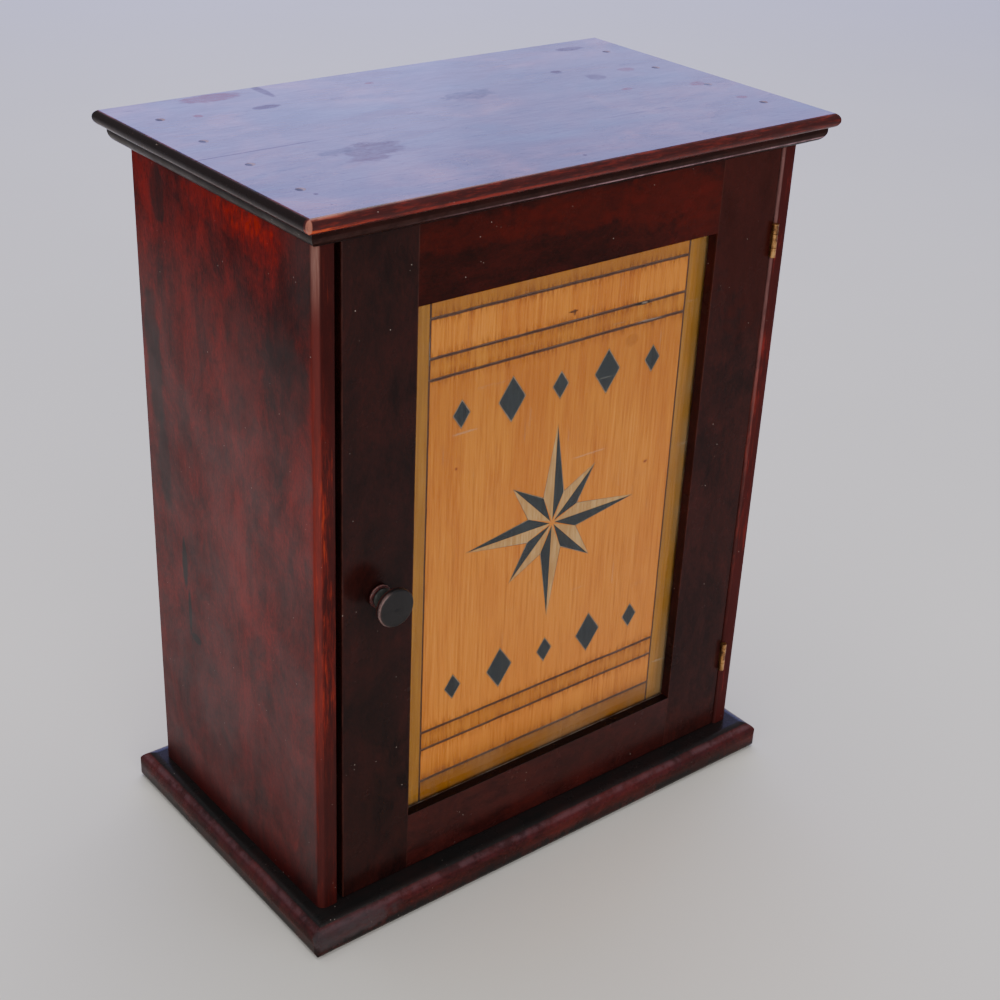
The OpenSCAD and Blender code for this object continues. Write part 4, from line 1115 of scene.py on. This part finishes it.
    def dress(self) -> None:
        """Dress every node of the carcass."""
        self.dress_top()
        self.dress_sides()
        self.dress_mould()
        self.dress_base()
        upright = BareWood("upright poplar", Z)
        dress(upright, "back_board_left", "back_board_middle", "back_board_right")
        dress(upright, "divider_left", "divider_middle", "divider_right", arris=FINE_ARRIS)
        dress(BareWood("level poplar", X), *(f"shelf_{number}" for number in range(1, 6)), arris=FINE_ARRIS)
        dress(Shellac("stop shellac", Z, seed=11), "door_stop", arris=ARRIS)
        dress(OldMetal("dull steel", *STEEL), "stop_brads", "top_screws", "base_screws", "back_nails")


@dataclass
class Door:
    """Frame, glass, panel with its inlay, beads and hinges."""

    dark: Colour = (0.005, 0.003, 0.003)
    body: Colour = (0.018, 0.006, 0.0055)
    bright: Colour = (0.05, 0.009, 0.007)
    rows: tuple[float, ...] = (0.3576, 0.3356, 0.3236, 0.1038, 0.0918, 0.0698)
    left: float = -0.0873
    right: float = 0.0922
    spot_depth: float = 20.0 * MM
    hair: float = 0.05 * MM

    def dark_finish(self, name: str, seed: float, lift: float = 1.0, gleam: float = 0.11,
                    lines: tuple[Arris, ...] = (), spots: tuple[Spot, ...] = ()) -> Shellac:
        """Describe the dark finish of a stile or a bead.

        Args:
            name: name of the finish.
            seed: where in the pattern this piece lies.
            lift: how much redder than the darkest stile it is.
            gleam: how strongly its film shines.
            lines: rubbed lines along its edges.
            spots: worn or redder patches.

        Returns:
            The finish.
        """
        return Shellac(name, Z, deep=self.dark, body=tuple(c * lift for c in self.body),
                       bright=tuple(c * lift for c in self.bright), figure=0.8, rough=0.22, gleam=gleam, seed=seed,
                       dust=0.5, lines=lines, spots=spots)

    def dress_frame(self) -> None:
        """Dress the stiles and rails."""
        for side, seed, lift, gleam, redness in (("left", 13, 0.9, 0.1, 0), ("right", 17, 1.3, 0.06, 0.45)):
            low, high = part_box("stile_" + side)
            lines = (Arris(X, low.x + 0.0002), Arris(X, high.x - 0.0002))
            upper = Spot((high.x, low.y, 0.4), (0.06, self.spot_depth, 0.1), (0.05, 0.006, 0.0035), redness, 0.5)
            stile = self.dark_finish(f"stile {side} shellac", seed, lift, gleam, lines, (upper,))
            dress(stile, "stile_" + side, arris=ARRIS)
        redder = (0.08, 0.006, 0.0035)
        spots = spots_on(Y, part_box("rail_top")[0].y, self.spot_depth, (
            (66, 398, 40, 17, redder, 0.55, 0.8, 0.4),
            (0, 402, 50, 11, redder, 0.5, 0.8, 0.5),
            (-60, 402, 50, 9, redder, 0.4, 0.8, 0.5),
            (90, 384, 20, 20, redder, 0.5, 0.8, 0.5),
        ))
        top = Shellac("top rail shellac", X, deep=(0.006, 0.0025, 0.002), body=(0.026, 0.0045, 0.0035),
                      bright=(0.07, 0.008, 0.005), figure=0.8, rough=0.24, gleam=0.06, seed=19, dust=0.5, spots=spots)
        dress(top, "rail_top")
        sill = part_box("rail_bottom")[1].z
        grimy = Spot((0.0, -0.0845, sill), (0.3, 0.0035, 0.0008), self.dark, 0.85, 0.2)
        putty = Arris(Y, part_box("glass_pane")[0].y - 0.0003, (0.17, 0.14, 0.11), 0.8, 0.0003, -0.07)
        bottom = Shellac("bottom rail shellac", X, deep=(0.008, 0.0035, 0.0035), body=(0.034, 0.0075, 0.0066),
                         bright=(0.07, 0.011, 0.009), figure=0.8, rough=0.22, gleam=0.11, seed=23, dust=0.5,
                         spots=(grimy,), lines=(putty,))
        dress(bottom, "rail_bottom")

    def dress_pane(self) -> None:
        """Dress the glass and draw its faces in a hair, so that they part from the panel behind."""
        dress(OldGlass("old glass", *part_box("glass_pane")), "glass_pane")
        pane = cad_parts["glass_pane"]
        add_modifier(pane, "weld", "WELD", merge_threshold=WELD)
        add_modifier(pane, "draw in", "DISPLACE", strength=-self.hair, mid_level=0)

    def dress_panel(self) -> None:
        """Dress the panel with its knots, and the inlay."""
        face, rear = (corner.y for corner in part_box("sign_panel"))
        knots = spots_on(Y, face, self.spot_depth, (
            (8.4, 341.3, 3.5, 0.8, (0.07, 0.02, 0.008), 0.9, 0.6),
            (9.2, 340.5, 0.9, 2.2, (0.07, 0.02, 0.008), 0.8, 0.5),
            (59.6, 335.3, 5.8, 1.1, (0.03, 0.018, 0.015), 0.95, 0.4),
            (61, 335.2, 2.2, 0.4, (0.3, 0.24, 0.2), 0.8, 0.3),
            (53.4, 314.5, 5, 4, (0.3, 0.09, 0.01), 0.5, 0.7),
            (-68, 268, 1, 1, (0.2, 0.04, 0.01), 0.8, 0.3),
            (72.4, 233.4, 1.6, 1.1, (0.2, 0.035, 0.01), 0.8, 0.3),
        ))
        varnish = PanelVarnish("panel varnish", self.left, self.right, self.rows, (face + rear) / 2, knots)
        dress(varnish, "sign_panel")
        dress(Veneer("slate veneer", (0.008, 0.012, 0.016), (0.02, 0.027, 0.034)), "sign_inlay_dark")
        dress(Veneer("light veneer", (0.42, 0.2, 0.06), (0.6, 0.34, 0.13)), "sign_inlay_light")

    def dress(self) -> None:
        """Dress every node of the door, and the hinge pins."""
        self.dress_frame()
        self.dress_pane()
        self.dress_panel()
        dress(self.dark_finish("bead shellac", 29), "bead_left", "bead_right", "bead_top", "bead_bottom",
              arris=FINE_ARRIS)
        dress(OldMetal("old brass", (0.5, 0.27, 0.1), (0.13, 0.06, 0.03), 0.36), "hinge_leaf_side_upper",
              "hinge_leaf_side_lower", "hinge_leaf_door_upper", "hinge_leaf_door_lower", "hinge_screws_side",
              "hinge_screws_door", "hinge_pin_upper", "hinge_pin_lower")
        dress(OldMetal("brad steel", *STEEL), "bead_brads")


@dataclass
class Stringing:
    """Thin pale and dark lines let in round the star and the lozenges."""

    pale_w: float = 0.35 * MM
    dark_w: float = 0.25 * MM
    proud: float = 0.03 * MM
    sunk: float = 0.3 * MM
    waist: float = 20.0 * MM
    touching: float = 0.01 * MM
    longest: float = 2.5

    def outline(self) -> tuple[bmesh.types.BMesh, list[bmesh.types.BMEdge]]:
        """Take the front faces of the inlay and find the edges round its shapes.

        Returns:
            The flat faces, and their outer edges without those near the star's middle.
        """
        shape = bmesh.new()
        for node in ("sign_inlay_dark", "sign_inlay_light"):
            shape.from_mesh(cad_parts[node].data)
        bmesh.ops.remove_doubles(shape, verts=shape.verts, dist=self.touching)
        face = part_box("sign_inlay_dark")[0].y
        hidden = [item for item in shape.faces if max(vert.co.y for vert in item.verts) > face + self.touching]
        bmesh.ops.delete(shape, geom=hidden, context="FACES")
        low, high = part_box("sign_inlay_light")
        middle = (low + high) / 2
        edges = [edge for edge in shape.edges if edge.is_boundary and max(
            math.hypot(vert.co.x - middle.x, vert.co.z - middle.z) for vert in edge.verts) > self.waist]
        return shape, edges

    def widen(self, shape: bmesh.types.BMesh, edges: list[bmesh.types.BMEdge],
              width: float) -> tuple[list[bmesh.types.BMFace], list[bmesh.types.BMEdge]]:
        """Extrude an outline outwards in its own plane, mitred at its corners.

        Args:
            shape: the mesh.
            edges: the outline.
            width: how far it moves out.

        Returns:
            The new faces and their outer edges.
        """
        pushes: dict[bmesh.types.BMVert, list[Vector]] = {}
        for edge in edges:
            face = edge.link_faces[0]
            first, second = edge.verts
            outward = (second.co - first.co).cross(face.normal).normalized()
            if outward.dot(first.co - face.calc_center_median()) < 0:
                outward.negate()
            for vert in edge.verts:
                pushes.setdefault(vert, []).append(outward)
        made = bmesh.ops.extrude_edge_only(shape, edges=edges)["geom"]
        moved = [item for item in made if isinstance(item, bmesh.types.BMVert)]
        for vert in moved:
            start = next(edge.other_vert(vert) for edge in vert.link_edges if edge.other_vert(vert) in pushes)
            sides = pushes[start]
            total = sum(sides, Vector())
            spread = total.length_squared / len(sides)
            push = total / max(spread, 1 / self.longest)
            bmesh.ops.translate(shape, verts=[vert], vec=push * width)
        faces = [item for item in made if isinstance(item, bmesh.types.BMFace)]
        outer = [item for item in made if isinstance(item, bmesh.types.BMEdge) and all(v in moved for v in item.verts)]
        return faces, outer

    def settle(self, items: bmesh.types.BMVertSeq | bmesh.types.BMFaceSeq, place: Callable[[object], Vector]) -> None:
        """Put the items of a mesh in an order that is the same in each run.

        Args:
            items: the vertices or the faces.
            place: gives the place of an item.
        """
        order = sorted(items, key=lambda item: tuple(round(value / self.touching) for value in place(item)))
        ranks = {item: rank for rank, item in enumerate(order)}
        items.sort(key=ranks.get)

    def ring(self, name: str, inner: float, width: float, finish: Veneer) -> None:
        """Make one line as a closed solid and set it in the panel.

        Args:
            name: name of the piece.
            inner: gap between the inlay and the line.
            width: width of the line.
            finish: finish of the line.
        """
        shape, edges = self.outline()
        if inner:
            edges = self.widen(shape, edges, inner)[1]
        keep = set(self.widen(shape, edges, width)[0])
        bmesh.ops.delete(shape, geom=[item for item in shape.faces if item not in keep], context="FACES")
        bmesh.ops.translate(shape, verts=shape.verts, vec=(0, -self.proud, 0))
        wall = bmesh.ops.extrude_face_region(shape, geom=list(shape.faces), use_keep_orig=True)["geom"]
        back = [item for item in wall if isinstance(item, bmesh.types.BMVert)]
        bmesh.ops.translate(shape, verts=back, vec=(0, self.proud + self.sunk, 0))
        bmesh.ops.recalc_face_normals(shape, faces=shape.faces)
        self.settle(shape.verts, lambda vert: vert.co)
        self.settle(shape.faces, lambda face: face.calc_center_median())
        piece = add_mesh(name, shape, PALETTE.get(finish))
        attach(piece, "door")
        LOG.info("set %s round the inlay", name)

    def dress(self) -> None:
        """Lay both lines."""
        self.ring("stringing_pale", 0, self.pale_w,
                  Veneer("pale line", (0.26, 0.18, 0.12), (0.42, 0.31, 0.21)))
        self.ring("stringing_dark", self.pale_w, self.dark_w,
                  Veneer("dark line", (0.03, 0.012, 0.008), (0.08, 0.03, 0.014)))


@dataclass
class Latch:
    """Knob, tongue and its screw."""

    def dress(self) -> None:
        """Dress every node of the latch."""
        knob = KnobShellac("knob shellac", Y, deep=(0.006, 0.006, 0.0065), body=(0.012, 0.011, 0.012),
                           bright=(0.024, 0.02, 0.02), figure=0.7, rough=0.3, gleam=0.2, seed=31, dust=0.15,
                           face=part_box("knob")[0].y)
        dress(knob, "knob")
        dress(Shellac("tongue shellac", Z, seed=37), "latch_tongue", arris=FINE_ARRIS)
        dress(OldMetal("latch steel", *STEEL), "latch_screw")


@dataclass(frozen=True)
class SoftBox:
    """A soft area light."""

    name: str
    place: Colour
    size: tuple[float, float]
    power: float
    colour: Colour
    target: Colour = (0.0, 0.0, 0.3)


@dataclass
class Studio:
    """Floor, light and camera."""

    azimuth: float = -39.675
    elevation: float = 28.084
    roll: float = 2.738
    eye: Colour = (-0.56012, -0.70935, 0.67746)
    lens: float = 60.894
    sensor: float = 36.0
    clip: tuple[float, float] = (0.01, 50.0)
    floor_half: float = 7.0
    floor_colour: Colour = (0.7, 0.665, 0.62)
    sky: Colour = (0.86, 0.92, 1.0)
    sky_strength: float = 0.4
    boxes: tuple[SoftBox, ...] = (
        SoftBox("rear soft box", (2.1, 2.55, 1.15), (4.2, 2.3), 65, (0.345, 0.36, 1)),
        SoftBox("left rear soft box", (1.1, 3.05, 1.15), (2, 2.3), 12, (0.345, 0.36, 1)),
        SoftBox("overhead soft box", (0.3, 0.5, 2.4), (2.2, 2.2), 48, (1, 0.97, 0.94), (0.1, 0.2, 0)),
        SoftBox("front soft box", (-0.9, -3, 1.2), (2.4, 1.6), 62, (1, 0.97, 0.93)),
        SoftBox("left soft box", (-3.2, -0.9, 1.3), (2, 1.6), 22, (1, 0.97, 0.94)),
    )

    def floor(self) -> None:
        """Lay the pale floor."""
        shape = bmesh.new()
        bmesh.ops.create_grid(shape, x_segments=1, y_segments=1, size=self.floor_half)
        graph = Graph("pale floor")
        cloud = graph.noise(graph.place, 3, 4, 0.6)
        colour = graph.layer(self.floor_colour, tuple(c * 1.06 for c in self.floor_colour), cloud)
        add_mesh("floor", shape, graph.finish(colour, 0.75))

    def light(self) -> None:
        """Set the even sky."""
        world = bpy.data.worlds.new("studio sky")
        world.use_nodes = True
        back = world.node_tree.nodes["Background"]
        back.inputs["Color"].default_value = (*self.sky, 1)
        back.inputs["Strength"].default_value = self.sky_strength
        bpy.context.scene.world = world

    def soft_box(self, box: SoftBox) -> None:
        """Hang one soft box, turned to its target.

        Args:
            box: where it hangs, how large and how strong it is.
        """
        data = bpy.data.lights.new(box.name, "AREA")
        data.shape = "RECTANGLE"
        data.size, data.size_y = box.size
        data.color = box.colour
        data.energy = box.power
        place = Vector(box.place)
        turn = (Vector(box.target) - place).to_track_quat("-Z", "Y").to_matrix()
        add_object(box.name, data).matrix_world = Matrix.Translation(place) @ turn.to_4x4()

    def camera(self) -> None:
        """Place the camera at the photograph's viewing angle."""
        azimuth, elevation, roll = (math.radians(v) for v in (self.azimuth, self.elevation, self.roll))
        level = math.cos(elevation)
        back = Vector((math.sin(azimuth) * level, -math.cos(azimuth) * level, math.sin(elevation)))
        right = (-back).cross(Vector((0, 0, 1))).normalized()
        up = right.cross(-back)
        across = math.cos(roll) * right + math.sin(roll) * up
        upward = -math.sin(roll) * right + math.cos(roll) * up
        data = bpy.data.cameras.new("camera")
        data.lens = self.lens
        data.sensor_width = self.sensor
        data.sensor_fit = "HORIZONTAL"
        data.clip_start, data.clip_end = self.clip
        camera = add_object("camera", data)
        turn = Matrix((across, upward, back)).transposed()
        camera.matrix_world = Matrix.Translation(Vector(self.eye)) @ turn.to_4x4()
        bpy.context.scene.camera = camera

    def build(self) -> None:
        """Build the whole studio."""
        self.floor()
        self.light()
        for box in self.boxes:
            self.soft_box(box)
        self.camera()


def main() -> None:
    """Dress the cabinet and set it in its studio."""
    logging.basicConfig(level=logging.INFO)
    for part in (Carcass(), Door(), Stringing(), Latch()):
        part.dress()
    Studio().build()


if __name__ == "__main__":
    main()
